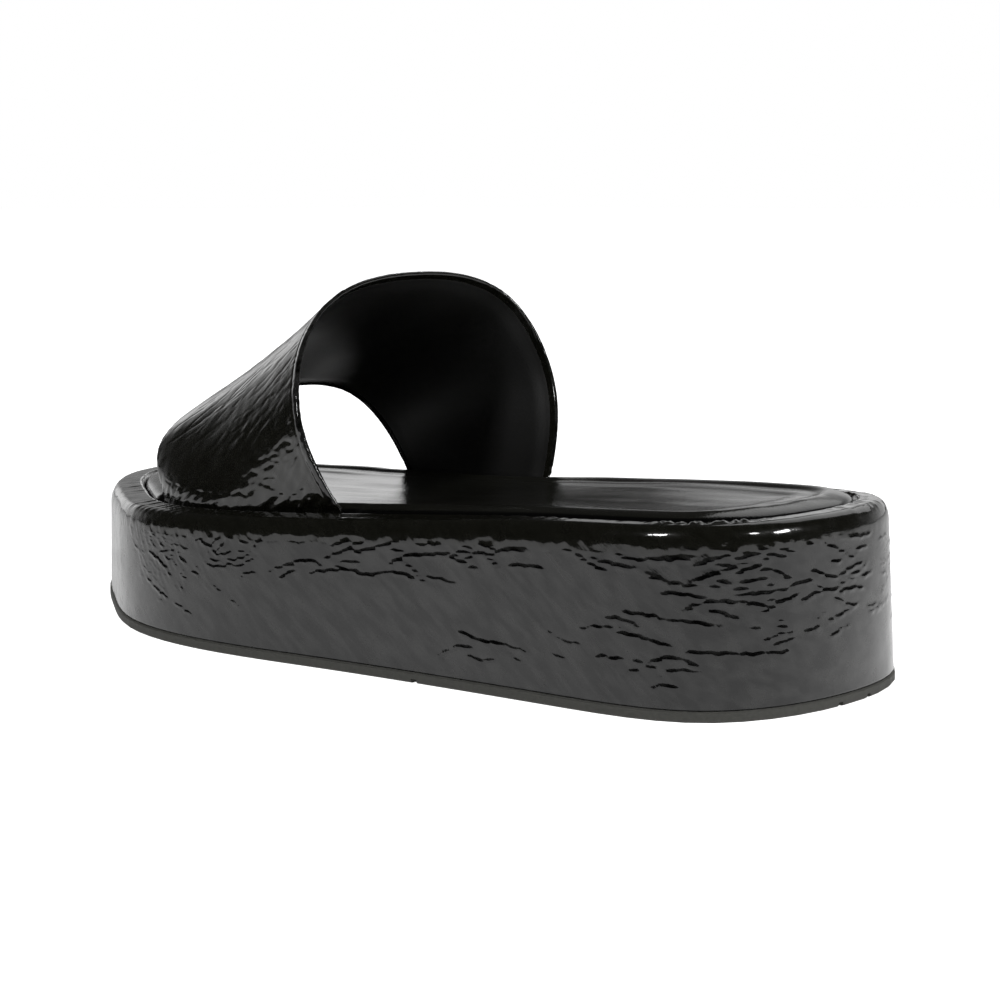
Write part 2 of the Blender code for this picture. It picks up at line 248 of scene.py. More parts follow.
# %% Meshes from grids of points
def grid_normals(grid, closed):
    """Unit normals of a grid of points, rows by columns, where the columns may close into a ring."""
    if closed:
        ring = np.concatenate([grid[:, -1:], grid, grid[:, :1]], axis=1)
        across = (ring[:, 2:] - ring[:, :-2]) / 2
    else:
        across = np.gradient(grid, axis=1)
    normals = np.cross(across, np.gradient(grid, axis=0))
    return normals / np.maximum(np.linalg.norm(normals, axis=2), 1e-9)[:, :, None]


def grid_faces(rows, columns, closed):
    """Corner numbers of the four-sided faces between the rows of a grid."""
    row = np.arange(rows - 1)[:, None] * columns
    column = np.arange(columns if closed else columns - 1)[None, :]
    after = (column + 1) % columns
    faces = np.stack([row + column, row + after, row + columns + after, row + columns + column], axis=2)
    return faces.reshape(-1, 4).tolist()


def strip_across(loop):
    """Faces that close a ring with a strip across the sole, from the heel to the toe."""
    count = len(loop)
    faces = []
    for k in range((count - 1) // 2):
        corners = (loop[k], loop[k + 1], loop[count - 2 - k], loop[count - 1 - k])
        faces.append(list(dict.fromkeys(corners)))
    return faces


print("faces between two rings of 4 points:", len(grid_faces(2, 4, closed=True)))


# %% Pieces from meshes
def put_in_scene(name, data):
    """An object with the given mesh, light or camera, linked to the scene."""
    thing = bpy.data.objects.new(name, data)
    bpy.context.scene.collection.objects.link(thing)
    return thing


def make_piece(name, points, faces, material):
    """A smooth shaded object at the origin, from points in millimetres."""
    mesh = bpy.data.meshes.new(name)
    mesh.from_pydata((np.asarray(points).reshape(-1, 3) * MM).tolist(), [], faces)
    mesh.validate()
    mesh.materials.append(material)
    mesh.shade_smooth()
    return put_in_scene(name, mesh)


def store(piece, name, kind, values):
    """Keep one value for each point of the mesh, as a named attribute."""
    layer = piece.data.attributes.new(name, kind, "POINT")
    key = "vector" if kind == "FLOAT_VECTOR" else "value"
    layer.data.foreach_set(key, np.asarray(values, dtype=np.float32).ravel())


def outward_volume(piece):
    """Signed volume of a closed mesh in cubic centimetres: above zero if the faces point outward."""
    mesh = piece.data
    mesh.calc_loop_triangles()
    points = np.empty(len(mesh.vertices) * 3)
    mesh.vertices.foreach_get("co", points)
    corners = np.empty(len(mesh.loop_triangles) * 3, dtype=np.int32)
    mesh.loop_triangles.foreach_get("vertices", corners)
    a, b, c = points.reshape(-1, 3)[corners.reshape(-1, 3)].transpose(1, 0, 2)
    return float(np.einsum("ij,ij->i", a, np.cross(b, c)).sum() / 6 * 1e6)


def report(piece):
    """Turn a piece's faces outward if need be, and say how big it is."""
    volume = outward_volume(piece)
    if volume < 0:
        piece.data.flip_normals()
    print(f"{piece.name}: {len(piece.data.loop_triangles)} triangles, {abs(volume):.1f} cm3")


# %% [markdown]
# ## Finishes
#
# Each finish is a small node tree. The patent leather is nearly black under a clear coat: the coat mirrors
# the pale floor and the dark room, and a very low bump keeps the mirror from looking like glass. Its creases
# get painted shade, a near black in the base colour, and its streaks show most on the wall and on the turned
# edges of the band. Painted image maps could say where that is, but the meshes already know it, so each point
# keeps the value as an attribute that the tree reads. The lining is the same black without a coat, the
# footbed is a semi-gloss leather with pores and painted shade along its low edge in the groove, and the
# outsole is plain rubber. Noise is read in object coordinates, so it stays on the shoe.

# %% Helpers for node trees
NOISE_LOW = 0.3
NOISE_HIGH = 0.7


def fill(tree, target, inputs):
    """Fill a node's inputs: each takes a number, a colour or the output of another node."""
    for socket, value in inputs.items():
        if isinstance(value, bpy.types.NodeSocket):
            tree.links.new(value, target.inputs[socket])
        else:
            target.inputs[socket].default_value = value


def add(tree, kind, inputs=None, **settings):
    """A new node with its settings and its inputs."""
    made = tree.nodes.new(kind)
    for name, value in settings.items():
        setattr(made, name, value)
    fill(tree, made, inputs or {})
    return made


def maths(tree, operation, first, second):
    """A sum on two values."""
    return add(tree, "ShaderNodeMath", {0: first, 1: second}, operation=operation).outputs[0]


def remap(tree, value, start, end, low=0.0, high=1.0, curve="SMOOTHSTEP"):
    """A value that goes from low to high while the given one goes from start to end."""
    inputs = {"Value": value, "From Min": start, "From Max": end, "To Min": low, "To Max": high}
    return add(tree, "ShaderNodeMapRange", inputs, interpolation_type=curve).outputs["Result"]


def ramp(tree, value, stops):
    """Colours of a ramp, where each stop is a place and a colour."""
    node = add(tree, "ShaderNodeValToRGB", {"Fac": value})
    while len(node.color_ramp.elements) < len(stops):
        node.color_ramp.elements.new(0.5)
    for element, (place, colour) in zip(node.color_ramp.elements, stops):
        element.position = place
        element.color = (*colour, 1.0)
    return node.outputs["Color"]


print("noise is spread over", NOISE_LOW, "to", NOISE_HIGH)


# %% Helpers for finishes
def new_finish(name):
    """A material with its nodes, its links and its shader."""
    material = bpy.data.materials.new(name)
    material.use_nodes = True
    tree = material.node_tree
    return material, tree, tree.nodes["Principled BSDF"]


def noise(tree, scale, detail=2.0, stretch=(1.0, 1.0, 1.0), turn=(0.0, 0.0, 0.0)):
    """Noise on object coordinates, which can be turned and then stretched."""
    place = add(tree, "ShaderNodeTexCoord").outputs["Object"]
    mapping = add(tree, "ShaderNodeMapping", {"Vector": place, "Rotation": turn, "Scale": stretch},
                  vector_type="TEXTURE")
    inputs = {"Vector": mapping.outputs["Vector"], "Scale": scale, "Detail": detail}
    return add(tree, "ShaderNodeTexNoise", inputs).outputs["Fac"]


def spread(tree, value, low, high):
    """A noise value spread over a range of numbers."""
    return remap(tree, value, NOISE_LOW, NOISE_HIGH, low, high, "LINEAR")


def bump(tree, height, distance, below=None):
    """Normals of a bump of the given height in metres, over another bump if there is one."""
    inputs = {"Strength": 1.0, "Distance": distance, "Height": height}
    if below is not None:
        inputs["Normal"] = below
    return add(tree, "ShaderNodeBump", inputs).outputs["Normal"]


def blend(tree, attribute, first, second):
    """The first colour, or the second where the mesh keeps a 1 in an attribute."""
    share = add(tree, "ShaderNodeAttribute", attribute_name=attribute).outputs["Fac"]
    return add(tree, "ShaderNodeMix", {0: share, 6: first, 7: second}, data_type="RGBA").outputs[2]


print("materials so far:", len(bpy.data.materials))

# %% Patent leather
PLAIN_BLACKS = ((0.34, (0.0052, 0.0052, 0.0036)), (0.70, (0.0086, 0.0086, 0.0064)))
STREAKED_BLACKS = ((0.38, (0.0003, 0.0003, 0.0003)), (0.64, (0.0190, 0.0190, 0.0185)))
# painted shade: the colour the creases are painted, standing in for their shadow
PAINTED_CREASE_SHADE = (0.0005, 0.0005, 0.0005, 1.0)
STREAK_BUMP = 0.00003
GRAIN_BUMP = 0.0000005


def make_patent(name, turn):
    """Black leather under a glassy lacquer, with faint slanted streaks in it and painted shade in its
    creases.
    """
    material, tree, shader = new_finish(name)
    streaks = noise(tree, 900.0, 4.0, (2.5, 5.0, 1.0), turn)
    broad = noise(tree, 430.0, 2.0, (2.0, 4.0, 1.0), turn)
    face = blend(tree, "streaked", ramp(tree, streaks, PLAIN_BLACKS), ramp(tree, broad, STREAKED_BLACKS))
    low = bump(tree, streaks, STREAK_BUMP)
    fine = bump(tree, noise(tree, 2600.0, 1.0), GRAIN_BUMP, low)
    fill(tree, shader, {
        # painted shade: creases are painted near black where the mesh keeps the crease mask
        "Base Color": blend(tree, "creased", face, PAINTED_CREASE_SHADE),
        "Roughness": spread(tree, noise(tree, 240.0, 2.0), 0.16, 0.30),
        "Normal": fine,
        "Coat Normal": fine,
        "Specular IOR Level": 0.1,
        "Coat Weight": 1.0,
        "Coat Roughness": 0.03,
    })
    return material


PATENT_WALL = make_patent("patent leather of the platform", (-0.67, 0.0, 0.0))
PATENT_BAND = make_patent("patent leather of the band", (0.60, 0.0, 0.0))
print("patent finishes:", PATENT_WALL.name, "and", PATENT_BAND.name)

# %% Lining, footbed leather and rubber
LINING_BLACKS = ((0.3, (0.004, 0.004, 0.0037)), (0.7, (0.007, 0.007, 0.0067)))
FOOTBED_BLACKS = ((0.3, (0.0066, 0.0066, 0.0052)), (0.7, (0.0118, 0.0118, 0.0096)))
RUBBER_GREYS = ((0.3, (0.050, 0.050, 0.044)), (0.7, (0.072, 0.072, 0.064)))
# painted shade: the colour of the footbed's edge low in the groove, standing in for its shadow
PAINTED_GROOVE_SHADE = (0.0008, 0.0008, 0.0007, 1.0)
LINING_GRAIN = 0.00003
PORE_BUMP = 0.00002
PAD_WAVE_BUMP = 0.00006
RUBBER_BUMP = 0.00004


def make_lining():
    """Smooth satin black leather."""
    material, tree, shader = new_finish("satin lining leather")
    tone = noise(tree, 45.0, 3.0)
    fill(tree, shader, {
        "Base Color": ramp(tree, tone, LINING_BLACKS),
        "Roughness": spread(tree, tone, 0.44, 0.54),
        "Normal": bump(tree, noise(tree, 1500.0, 3.0), LINING_GRAIN),
        "Specular IOR Level": 0.45,
    })
    return material


def make_footbed_leather():
    """Semi-gloss black leather with fine pores, uneven in its tone, with painted shade along its edge in the
    groove.
    """
    material, tree, shader = new_finish("semi-gloss footbed leather")
    tone = ramp(tree, noise(tree, 35.0, 4.0), FOOTBED_BLACKS)
    place = add(tree, "ShaderNodeTexCoord").outputs["Object"]
    pores = add(tree, "ShaderNodeTexVoronoi", {"Vector": place, "Scale": 1400.0}).outputs["Distance"]
    fill(tree, shader, {
        # painted shade: the edge low in the groove is painted near black
        "Base Color": blend(tree, "groove", tone, PAINTED_GROOVE_SHADE),
        "Roughness": spread(tree, noise(tree, 150.0, 3.0, (1.0, 7.0, 1.0)), 0.12, 0.24),
        "Normal": bump(tree, noise(tree, 160.0, 2.0), PAD_WAVE_BUMP, bump(tree, pores, PORE_BUMP)),
        "Specular IOR Level": 0.42,
        "Coat Weight": 0.34,
        "Coat Roughness": 0.12,
    })
    return material


def make_rubber():
    """Matte olive-grey rubber with a fine speckle."""
    material, tree, shader = new_finish("matte outsole rubber")
    speckle = noise(tree, 900.0, 3.0)
    fill(tree, shader, {
        "Base Color": ramp(tree, speckle, RUBBER_GREYS),
        "Roughness": spread(tree, speckle, 0.55, 0.72),
        "Normal": bump(tree, speckle, RUBBER_BUMP),
    })
    return material


LINING = make_lining()
FOOTBED_LEATHER = make_footbed_leather()
RUBBER = make_rubber()
print("other finishes:", LINING.name, FOOTBED_LEATHER.name, RUBBER.name)

# %% [markdown]
# ## The patent wrap of the platform
#
# On the real shoe one strip of leather goes up the wall, over a padded edge and down into the groove beside
# the footbed. A bevelled copy of the solid would give the edge one plain round, but the roll is fuller and
# its crown slopes more in some places than in others. So the wrap is lofted as rings of points, from the
# middle of the bottom up the wall and over the roll to the middle of the seat, and the mesh is closed. The
# wall has about four rows to the millimetre, because a crease is about one millimetre high.

# %% Rings of the wrap
WALL_FOOT_INSET = 0.65
WALL_FOOT_ROUND = 0.25
WALL_FLARE_HEEL = 2.0
WALL_FLARE_TOE = 0.2
ROLL_INNER = 10.5
SEAT_DEPTH = 3.5
SHRINK_STEPS = (0.72, 0.42, 0.14)
SPINE_TOE = 62.0
SPINE_HEEL = 50.0

fine_points = outline(FINE_SHARES)
fine_lengths = np.linalg.norm(np.diff(np.vstack([fine_points, fine_points[:1]]), axis=0), axis=1)
FINE_ALONG = np.concatenate([[0.0], np.cumsum(fine_lengths)])
PERIMETER = FINE_ALONG[-1]


def shares_at(along):
    """Shares of the outline at lengths along it from the heel tip."""
    return np.interp(along, FINE_ALONG, np.append(FINE_SHARES, 1.0))


def places_round(count, steps):
    """Lengths that walk round the outline from the heel tip, with steps that are longer in places."""
    lengths = np.interp(FINE_ALONG, steps[0], steps[1])
    walk = np.concatenate([[0.0], np.cumsum(np.diff(FINE_ALONG) * 2 / (lengths[1:] + lengths[:-1]))])
    return np.interp(np.linspace(0.0, walk[-1], count, endpoint=False), walk, FINE_ALONG)


def wall_top_inset(y):
    """The wall stands a little wider at the ground, more so at the heel."""
    share = (y + HALF_LENGTH) / (2 * HALF_LENGTH)
    return WALL_FOOT_INSET - WALL_FOOT_ROUND + WALL_FLARE_TOE + (WALL_FLARE_HEEL - WALL_FLARE_TOE) * share


def sole_ring(shares, inset, height):
    """One closed ring: an inset outline at a height that depends on y."""
    points = outline(shares, inset)
    return np.column_stack([points, height(points[:, 1])])


def shrunk_ring(shares, inset, factor, height):
    """A ring drawn in toward the middle line of the sole."""
    points = outline(shares, inset)
    spine_y = np.clip(points[:, 1], SPINE_TOE - HALF_LENGTH, HALF_LENGTH - SPINE_HEEL)
    spine_x = (side_x(spine_y, 0.0, 1) + side_x(spine_y, 0.0, -1)) / 2
    spine = np.column_stack([spine_x, spine_y])
    points = spine + factor * (points - spine)
    return np.column_stack([points, height(points[:, 1])])


print("way round the sole:", round(PERIMETER, 1), "mm")

# %% The wrap before it is creased
WRAP_COLUMNS = 620
WALL_ROWS = 114
ROLL_ROWS = 16
CROWN_ROWS = 9
LIP_ROWS = 9
WRAP_STEPS = ((0, 160, 175, 235, 260, 300, PERIMETER - 60, PERIMETER - 30, PERIMETER),
              (0.84, 0.84, 0.6, 0.6, 0.9, 1.6, 1.6, 0.84, 0.84))
SOLE_TO_WRAP = 0.04
ROW_CROWDING = 0.3
ROLL_DROP = 6.0
ROLL_ROUND = 4.1
ROLL_FULLNESS = 0.85
ROLL_LIP = 1.4
CROWN_REACH = 3.0
CROWN_SLOPES = ((0, 60, 100, 117, 240, 300, 560, 640),
                (0.020, 0.025, 0.05, 0.21, 0.16, 0.06, 0.06, 0.020))
wrap_along = places_round(WRAP_COLUMNS, WRAP_STEPS)
wrap_shares = shares_at(wrap_along)


def wrap_bottom(y):
    """Height of the wrap's underside."""
    return ground(y) + SOLE_THICKNESS + SOLE_TO_WRAP


def roll_profile():
    """Steps over the roll: how far in on rounding, crown and lip, how low, and how far out from the crest."""
    steps = []
    for angle in np.linspace(0.0, math.pi / 2, ROLL_ROWS, endpoint=False):
        inward = ROLL_ROUND * (1 - math.cos(angle) ** ROLL_FULLNESS)
        drop = ROLL_DROP * (1 - math.sin(angle) ** ROLL_FULLNESS)
        steps.append((inward, 0.0, 0.0, drop, CROWN_REACH * math.sin(angle)))
    for share in np.linspace(0.0, 1.0, CROWN_ROWS, endpoint=False):
        steps.append((ROLL_ROUND, share, 0.0, 0.0, CROWN_REACH * (1 - share)))
    for angle in np.linspace(0.0, math.pi / 2, LIP_ROWS + 1):
        lip, drop = ROLL_LIP * math.sin(angle), SEAT_DEPTH * (1 - math.cos(angle))
        steps.append((ROLL_ROUND, 1.0, lip, drop, 0.0))
    return steps


def wrap_rings():
    """Rings of the wrap, and the rows at which its wall and its roll start."""
    rings = []
    for factor in reversed(SHRINK_STEPS):
        rings.append(shrunk_ring(wrap_shares, WALL_FOOT_INSET, factor, wrap_bottom))
    rings.append(sole_ring(wrap_shares, WALL_FOOT_INSET, wrap_bottom))
    wall_start = len(rings)
    foot_inset = WALL_FOOT_INSET - WALL_FOOT_ROUND
    foot = sole_ring(wrap_shares, foot_inset, lambda y: wrap_bottom(y) + WALL_FOOT_ROUND)
    outer = wall_top_inset(outline(wrap_shares)[:, 1])
    top = sole_ring(wrap_shares, outer, lambda y: deck(y) - ROLL_DROP)
    for step in np.linspace(0.0, 1.0, WALL_ROWS, endpoint=False):
        share = step * (1 + ROW_CROWDING - ROW_CROWDING * step)
        rings.append(foot + (top - foot) * share)
    roll_start = len(rings)
    slope = np.interp(wrap_along, *CROWN_SLOPES)
    for rounding, crown, lip, drop, from_crest in roll_profile():
        inset = outer + rounding + crown * (ROLL_INNER - outer - ROLL_ROUND - ROLL_LIP) + lip
        rings.append(sole_ring(wrap_shares, inset, lambda y: deck(y) - drop - slope * from_crest))
    for factor in SHRINK_STEPS:
        rings.append(shrunk_ring(wrap_shares, ROLL_INNER, factor, lambda y: deck(y) - SEAT_DEPTH))
    return np.array(rings), wall_start, roll_start


wrap, WALL_START, ROLL_START = wrap_rings()
ROLL_END = ROLL_START + ROLL_ROWS + CROWN_ROWS + LIP_ROWS
print("wrap grid:", wrap.shape[0], "rings of", wrap.shape[1], "points")

# %% [markdown]
# ## Main creases of the wall
#
# The creases on the outer side were measured one by one on the photo and turned into the shoe's own sizes:
# how far along the wall from the heel tip, how high above the floor, half the length, how much it rises and
# bows over that length, and how strong it is. Most lie near the heel, where the leather is pulled round the
# tightest curve. Noise alone would give as many wrinkles, but not in these places. Fainter slanted lines at
# the toe, and creases of the same kind on the inner side, are thrown with fixed seeds.

# %% Table of the wall's creases
WALL_CREASES = [Crease(*row) for row in (
    (-11, 28.3, 2.9, -0.2, 0.5, 1.0), (-10, 37.7, 4.8, -0.1, 0.4, 1.0), (-9, 35.2, 2.5, -0.5, -0.9, 0.8),
    (-8, 29.7, 4.1, -1.2, 1.0, 1.0), (-4, 30.8, 5.3, -1.1, -0.4, 1.0), (-4, 26.1, 5.0, 0.2, -0.4, 1.0),
    (-3, 28.4, 2.7, 0.8, 0.4, 1.0), (-2, 22.6, 4.7, 1.4, 0.9, 0.9), (-1, 21.0, 4.0, -0.8, 0.0, 1.0),
    (-1, 38.4, 4.0, 0.1, -0.2, 0.7), (0, 27.6, 1.9, -0.6, 0.0, 0.5), (0, 35.1, 5.9, 2.5, -0.1, 0.6),
    (1, 17.2, 3.8, -1.0, -0.2, 0.8), (2, 32.8, 1.9, 0.2, 1.0, 0.8), (6, 30.2, 4.8, 1.6, 0.4, 1.0),
    (6, 38.8, 3.4, 0.0, -0.5, 0.8), (7, 19.2, 3.8, -0.8, 0.1, 1.0), (8, 21.3, 2.6, -1.1, -0.4, 0.3),
    (8, 26.8, 6.4, -0.6, -1.3, 1.0), (11, 38.1, 1.1, -0.1, 0.0, 0.8), (12, 29.5, 4.3, 0.8, -1.4, 1.0),
    (16, 38.3, 1.2, 0.4, 0.0, 0.8), (17, 17.1, 6.0, -1.3, 0.4, 1.0), (18, 37.1, 1.4, 0.2, 0.0, 0.5),
    (19, 25.9, 4.7, -0.7, 1.0, 1.0), (20, 28.3, 3.9, 0.4, 1.3, 1.0), (20, 20.0, 1.3, 0.4, 0.0, 0.7),
    (21, 36.1, 2.3, 0.5, -0.2, 1.0), (21, 18.4, 4.5, -0.8, -0.5, 0.7), (21, 21.6, 1.1, 0.0, 0.0, 0.4),
    (22, 32.7, 4.3, 1.4, -1.0, 0.7), (23, 38.1, 5.3, -0.2, 0.8, 1.0), (24, 24.3, 1.9, -0.5, 0.1, 1.0),
    (25, 14.4, 6.6, 0.2, -0.1, 1.0), (27, 28.0, 5.0, -0.1, 0.3, 1.0), (28, 32.5, 0.6, 0.7, 0.0, 1.0),
    (28, 31.2, 3.2, -0.5, -0.2, 1.0), (28, 20.5, 1.7, -0.1, -0.4, 0.5), (28, 33.9, 4.3, -1.5, 0.7, 1.0),
    (29, 36.5, 3.1, -0.5, 0.1, 1.0), (30, 38.9, 1.1, 0.0, 0.0, 1.0), (30, 26.1, 5.2, 0.7, -0.3, 1.0),
    (34, 30.3, 4.3, 1.9, 0.8, 1.0), (35, 23.6, 3.1, 1.1, 0.0, 0.9), (36, 35.0, 1.8, 0.4, -0.3, 0.5),
    (37, 38.3, 4.6, 0.2, 0.0, 1.0), (37, 32.9, 6.9, -2.1, 0.2, 1.0), (37, 30.2, 1.1, -0.3, 0.0, 0.4),
    (38, 15.0, 5.7, 0.2, 0.1, 1.0), (38, 35.9, 3.9, -1.1, 0.0, 1.0), (40, 26.4, 4.3, -0.9, -1.0, 1.0),
    (42, 21.9, 5.7, 0.6, -0.1, 0.8), (44, 11.1, 4.2, 0.1, -0.5, 1.0), (45, 28.1, 4.7, 0.4, -0.2, 1.0),
    (47, 38.3, 5.2, -0.2, 0.0, 1.0), (47, 13.8, 5.4, 0.1, -1.6, 1.0), (48, 30.6, 5.7, 1.1, 0.7, 1.0),
    (48, 35.8, 5.6, -0.4, 0.5, 1.0), (49, 7.6, 3.0, -0.1, -0.7, 0.9), (50, 9.3, 1.2, 0.0, 0.0, 0.4),
    (54, 23.0, 5.7, 0.6, -0.4, 0.9), (54, 37.4, 0.9, -0.7, 0.0, 0.3), (54, 17.7, 7.0, 1.2, -0.5, 1.0),
    (55, 10.8, 4.5, -1.5, -0.5, 0.9), (58, 35.4, 4.0, 0.3, 0.4, 0.3), (60, 21.4, 3.9, 0.6, -0.4, 0.9),
    (61, 12.5, 6.0, 0.0, 0.1, 1.0), (63, 33.8, 5.5, 0.7, 0.1, 1.0), (66, 19.2, 5.3, -0.7, -0.5, 0.8),
    (71, 34.2, 6.1, 2.5, 0.1, 0.5), (77, 15.4, 6.1, 1.8, 1.2, 0.3), (77, 11.2, 2.1, 0.6, 0.2, 0.3),
    (87, 30.9, 4.3, -0.2, 0.0, 1.0), (89, 11.5, 5.0, 0.6, 0.3, 0.3), (89, 9.2, 2.4, 1.3, -0.4, 0.3),
    (93, 34.0, 4.7, -1.0, -0.8, 1.0), (97, 35.4, 0.8, -0.5, 0.0, 0.4), (99, 7.4, 4.4, -0.1, 1.3, 0.7),
    (99, 32.3, 3.5, 1.3, -1.5, 1.0), (100, 34.8, 3.5, 1.2, -0.1, 1.0), (100, 12.1, 5.9, 0.8, 0.8, 1.0),
    (102, 29.0, 1.6, -0.3, 0.0, 0.7), (105, 33.9, 1.4, 0.5, 0.0, 0.4), (106, 30.0, 3.6, -0.2, 1.9, 1.0),
    (106, 32.2, 2.2, -0.7, -0.4, 0.8), (107, 9.6, 5.1, -1.7, -1.4, 0.8), (109, 34.8, 1.9, -0.2, 0.2, 0.9),
    (112, 25.3, 4.2, 0.4, -0.2, 0.4), (114, 33.1, 2.6, 0.1, 1.3, 1.0), (115, 30.8, 4.6, -0.6, 0.0, 1.0),
    (118, 33.0, 1.5, 0.1, 0.0, 0.6), (120, 26.4, 3.5, 2.5, -0.4, 0.3), (120, 33.8, 1.4, -0.4, 0.0, 1.0),
    (123, 29.4, 4.0, -1.7, -0.7, 1.0), (125, 25.5, 5.1, 0.2, -0.8, 1.0), (125, 31.0, 2.1, 0.3, -0.6, 0.3),
    (126, 32.8, 3.9, -1.2, -0.2, 1.0), (134, 30.1, 4.0, -1.2, 0.2, 1.0), (135, 24.0, 4.6, 0.1, 0.7, 1.0),
    (135, 32.2, 3.7, -1.0, -0.6, 1.0), (140, 26.9, 3.7, -0.5, -1.1, 0.3), (142, 31.2, 3.2, -1.0, -0.4, 1.0),
    (143, 28.4, 4.0, -1.6, 0.1, 1.0), (146, 23.9, 5.4, -0.9, -0.2, 0.9), (147, 31.9, 1.7, 0.3, -0.2, 0.9),
    (154, 25.6, 5.4, -0.9, -1.4, 0.9), (159, 21.5, 2.3, -1.7, 0.3, 0.8), (162, 22.9, 2.5, -1.1, 0.1, 0.3),
    (168, 28.7, 1.8, -2.0, 0.2, 1.0), (172, 20.8, 3.1, -1.5, -1.2, 0.3), (173, 28.6, 1.6, 0.4, 0.2, 0.6),
    (173, 23.0, 3.5, -1.6, 0.7, 0.2), (174, 26.2, 0.9, -0.1, 0.0, 0.2), (174, 24.3, 4.4, -1.7, 1.1, 0.3),
    (176, 12.9, 1.8, 1.0, 0.4, 0.2), (180, 29.4, 3.2, -0.9, -1.3, 1.0), (180, 26.7, 2.0, -2.1, 0.9, 1.0),
    (181, 24.6, 3.4, 0.0, 1.2, 0.9), (181, 21.5, 4.0, -0.6, 0.5, 1.0), (182, 15.9, 1.5, 0.8, 0.0, 0.2),
    (183, 23.0, 1.7, 0.2, 0.0, 0.5), (184, 29.1, 0.9, -0.5, 0.0, 1.0), (186, 26.4, 2.8, 0.7, 1.6, 1.0),
    (190, 18.9, 1.7, 0.8, -0.6, 0.5), (191, 28.0, 1.4, 1.1, 0.0, 0.9), (194, 24.6, 1.3, 0.5, 0.0, 0.6),
    (195, 17.4, 1.8, 1.4, 0.6, 0.4), (195, 21.4, 2.6, 1.8, 0.6, 0.8), (196, 14.7, 1.3, 1.4, 0.0, 0.3),
    (196, 9.6, 5.0, 1.6, 0.0, 0.3), (198, 25.5, 1.0, -0.1, 0.0, 0.8), (200, 23.9, 0.8, 0.6, 0.0, 0.8),
    (200, 22.4, 0.8, -0.6, 0.0, 0.2), (202, 21.4, 1.4, 0.6, 0.0, 1.0), (203, 27.7, 1.0, 0.9, 0.0, 0.6),
    (204, 26.2, 1.7, 1.0, 0.9, 0.3), (205, 22.7, 5.9, 0.1, 3.1, 0.7), (205, 10.0, 1.4, 0.4, 0.0, 0.2),
    (206, 20.4, 5.6, 2.4, -0.9, 1.0), (207, 12.7, 5.7, 2.0, 0.4, 0.6), (208, 26.3, 4.9, 2.2, -0.4, 0.5),
    (208, 18.7, 2.7, 1.2, 0.0, 0.2), (209, 15.8, 6.3, 2.6, -0.5, 0.2), (218, 21.8, 3.7, 0.8, 0.4, 0.4),
)]
print("creases measured:", len(WALL_CREASES))


# %% Creases thrown with a seed
BELOW_ROLL = 1.5
LOWEST_CREASE = 6.0
TOE_CURVE = 205.0
TOE_LINES_TOP = 27.8
TOE_LINES_DEPTH = 15.0


def thrown_creases(first, last, count, seed):
    """More creases of the same kind along a stretch of the wall, most of them near its top."""
    dice = np.random.default_rng(seed)
    creases = []
    for k in range(count):
        along = dice.uniform(first, last)
        y = np.interp(along, FINE_ALONG[:-1], fine_points[:, 1])
        top = float(deck(y)) - ROLL_DROP - BELOW_ROLL
        up = top - (top - LOWEST_CREASE) * dice.beta(1.1, 1.8)
        half = dice.uniform(1.0, 4.0) + 5.0 * dice.random() ** 4
        rise, bow, strength = dice.normal(0.0, 0.8), dice.normal(0.0, 0.5), dice.uniform(0.3, 1.0)
        creases.append(Crease(along, up, half, rise, bow, strength))
    return creases


def fine_toe_creases(count, seed):
    """Faint slanted lines between the measured ones on the outer curve of the toe."""
    dice = np.random.default_rng(seed)
    creases = []
    for k in range(count):
        along, half, down = dice.normal(TOE_CURVE, 10.0), dice.uniform(0.6, 2.0), dice.beta(0.9, 1.8)
        steep = 1.7 - 1.1 * down + dice.normal(0.0, 0.3)
        up = TOE_LINES_TOP - TOE_LINES_DEPTH * down
        creases.append(Crease(along, up, half, half * steep, 0.0, dice.uniform(0.03, 0.22)))
    return creases


FINE_CREASES = fine_toe_creases(120, seed=12)
HIDDEN_CREASES = thrown_creases(300.0, PERIMETER - 14.0, 240, seed=11)
print("creases thrown:", len(HIDDEN_CREASES), "on the inner side and", len(FINE_CREASES), "at the toe")

# %% Push the creases into the wall
CREASE_DEPTH = ((-40.0, 5.0, 40.0, 110.0, 170.0, 240.0, 700.0), (0.21, 0.19, 0.18, 0.20, 0.24, 0.24, 0.17))
CREASE_WIDTH = 0.42
CREASE_WIGGLE = 0.24
BROKEN_CREASES = ((60.0, 100.0), (1.0, 0.55))
RIPPLE_DEPTH = 0.016
RAGGED_DEPTH = 0.036
RAGGED_ROWS = 5.0
RAGGED_STRETCH = ((0.0, 10.0, 225.0, 240.0), (0.35, 1.0, 1.0, 0.35))


def wall_creases(grid, along):
    """Depths of the creases on the wall, which are stronger and weaker along their length."""
    up = grid[:, :, 2]
    every = WALL_CREASES + FINE_CREASES + HIDDEN_CREASES
    creases = crease_field(every, along, up, CREASE_WIDTH, CREASE_WIGGLE, seed=3)
    past_heel = crease_field(WALL_CREASES, along - PERIMETER, up, CREASE_WIDTH, CREASE_WIGGLE, seed=3)
    creases = np.maximum(creases, past_heel)
    broken = np.interp(along, *BROKEN_CREASES) * (0.52 * ripples(grid, 2.6, seed=9) - 0.22)
    return creases * np.clip(1.0 + broken, 0.0, 1.2)


